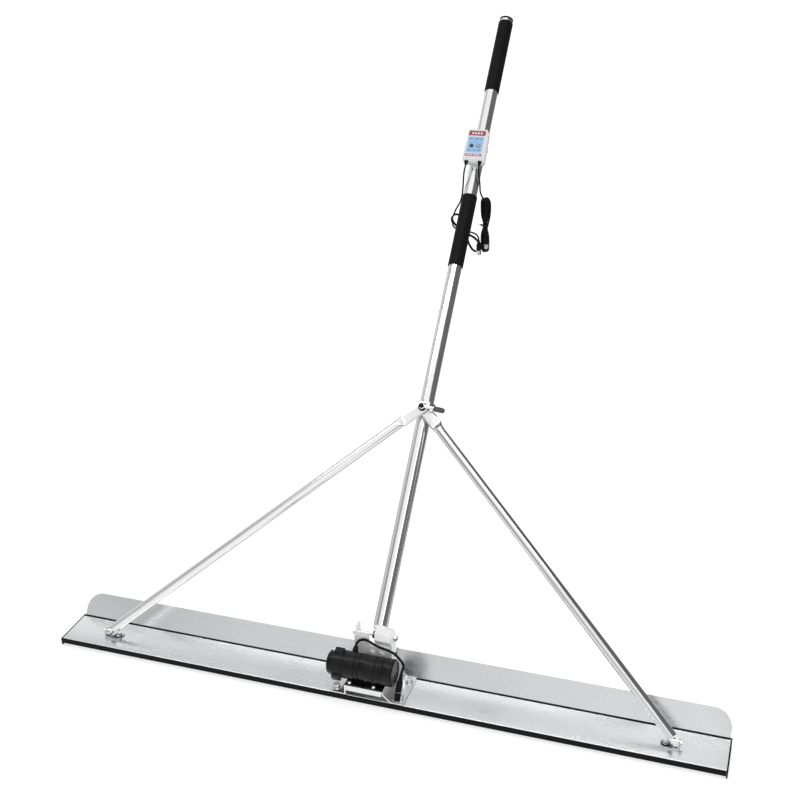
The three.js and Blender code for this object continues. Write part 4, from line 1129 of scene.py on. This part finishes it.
def studio_world():
    """Soft panels of different greys in front, behind, overhead and below the horizon."""
    world = bpy.data.worlds.new("studio")
    bpy.context.scene.world = world
    world.use_nodes = True
    tree = world.node_tree
    place = tree.nodes.new("ShaderNodeTexCoord")
    split = tree.nodes.new("ShaderNodeSeparateXYZ")
    tree.links.new(place.outputs["Generated"], split.inputs["Vector"])

    def spread(axis, low, high):
        node = tree.nodes.new("ShaderNodeMapRange")
        node.interpolation_type = "SMOOTHSTEP"
        node.inputs["From Min"].default_value = low
        node.inputs["From Max"].default_value = high
        tree.links.new(split.outputs[axis], node.inputs["Value"])
        return node.outputs["Result"]

    def panels(stops):
        """Grey levels over the direction's X."""
        node = tree.nodes.new("ShaderNodeValToRGB")
        position = tree.nodes.new("ShaderNodeMapRange")
        position.inputs["From Min"].default_value = -1
        tree.links.new(split.outputs["X"], position.inputs["Value"])
        tree.links.new(position.outputs["Result"], node.inputs["Fac"])
        elements = node.color_ramp.elements
        for element, (x, level) in zip(elements, (stops[0], stops[-1])):
            element.position = (x + 1) / 2
            element.color = (level, level, level, 1)
        for x, level in stops[1:-1]:
            elements.new((x + 1) / 2).color = (level, level, level, 1)
        return node.outputs["Color"]

    def mixed(factor, first, second):
        node = tree.nodes.new("ShaderNodeMix")
        node.data_type = "RGBA"
        tree.links.new(factor, node.inputs["Factor"])
        for name, value in (("A", first), ("B", second)):
            if isinstance(value, float):
                node.inputs[name].default_value = (value, value, value, 1)
            else:
                tree.links.new(value, node.inputs[name])
        return node.outputs["Result"]

    front = panels(FRONT_PANELS)
    rear = panels(REAR_PANELS)
    sides = mixed(spread("Y", -0.15, 0.15), front, rear)
    above = mixed(spread("Z", 0.66, 0.78), sides, OVERHEAD)
    below = mixed(spread("Y", -0.2, 0.2), BELOW_FRONT, BELOW_REAR)
    everywhere = mixed(spread("Z", -0.04, 0.04), below, above)
    tree.links.new(everywhere, tree.nodes["Background"].inputs["Color"])


studio_floor()
studio_world()
soft_light("key", (2.2, -1.4, 2.6), (0, 0, 0.1), (1.5, 1.5), 14)

# A bright strip above the front, a dark card on the right and a grey one on the left.
strip = [(-2.5, -0.5), (1, -0.5), (1, -0.25), (-2.5, -0.25)]
reflected_card("bright_card", [(x, y, 2.9) for x, y in strip], 7)
right_card = [(-1.92, 0), (1.094, 3.2), (3, 3.2), (3, 0)]
reflected_card("right_card", [(0.95, y, z) for y, z in right_card], 0.13)
left_card = [(-1.25, 0), (1.77, 3.2), (3.5, 3.2), (0, 0.15), (-0.2, 0)]
reflected_card("left_card", [(-1.3, y, z) for y, z in left_card], 0.55)
bpy.context.scene.view_settings.view_transform = "Standard"
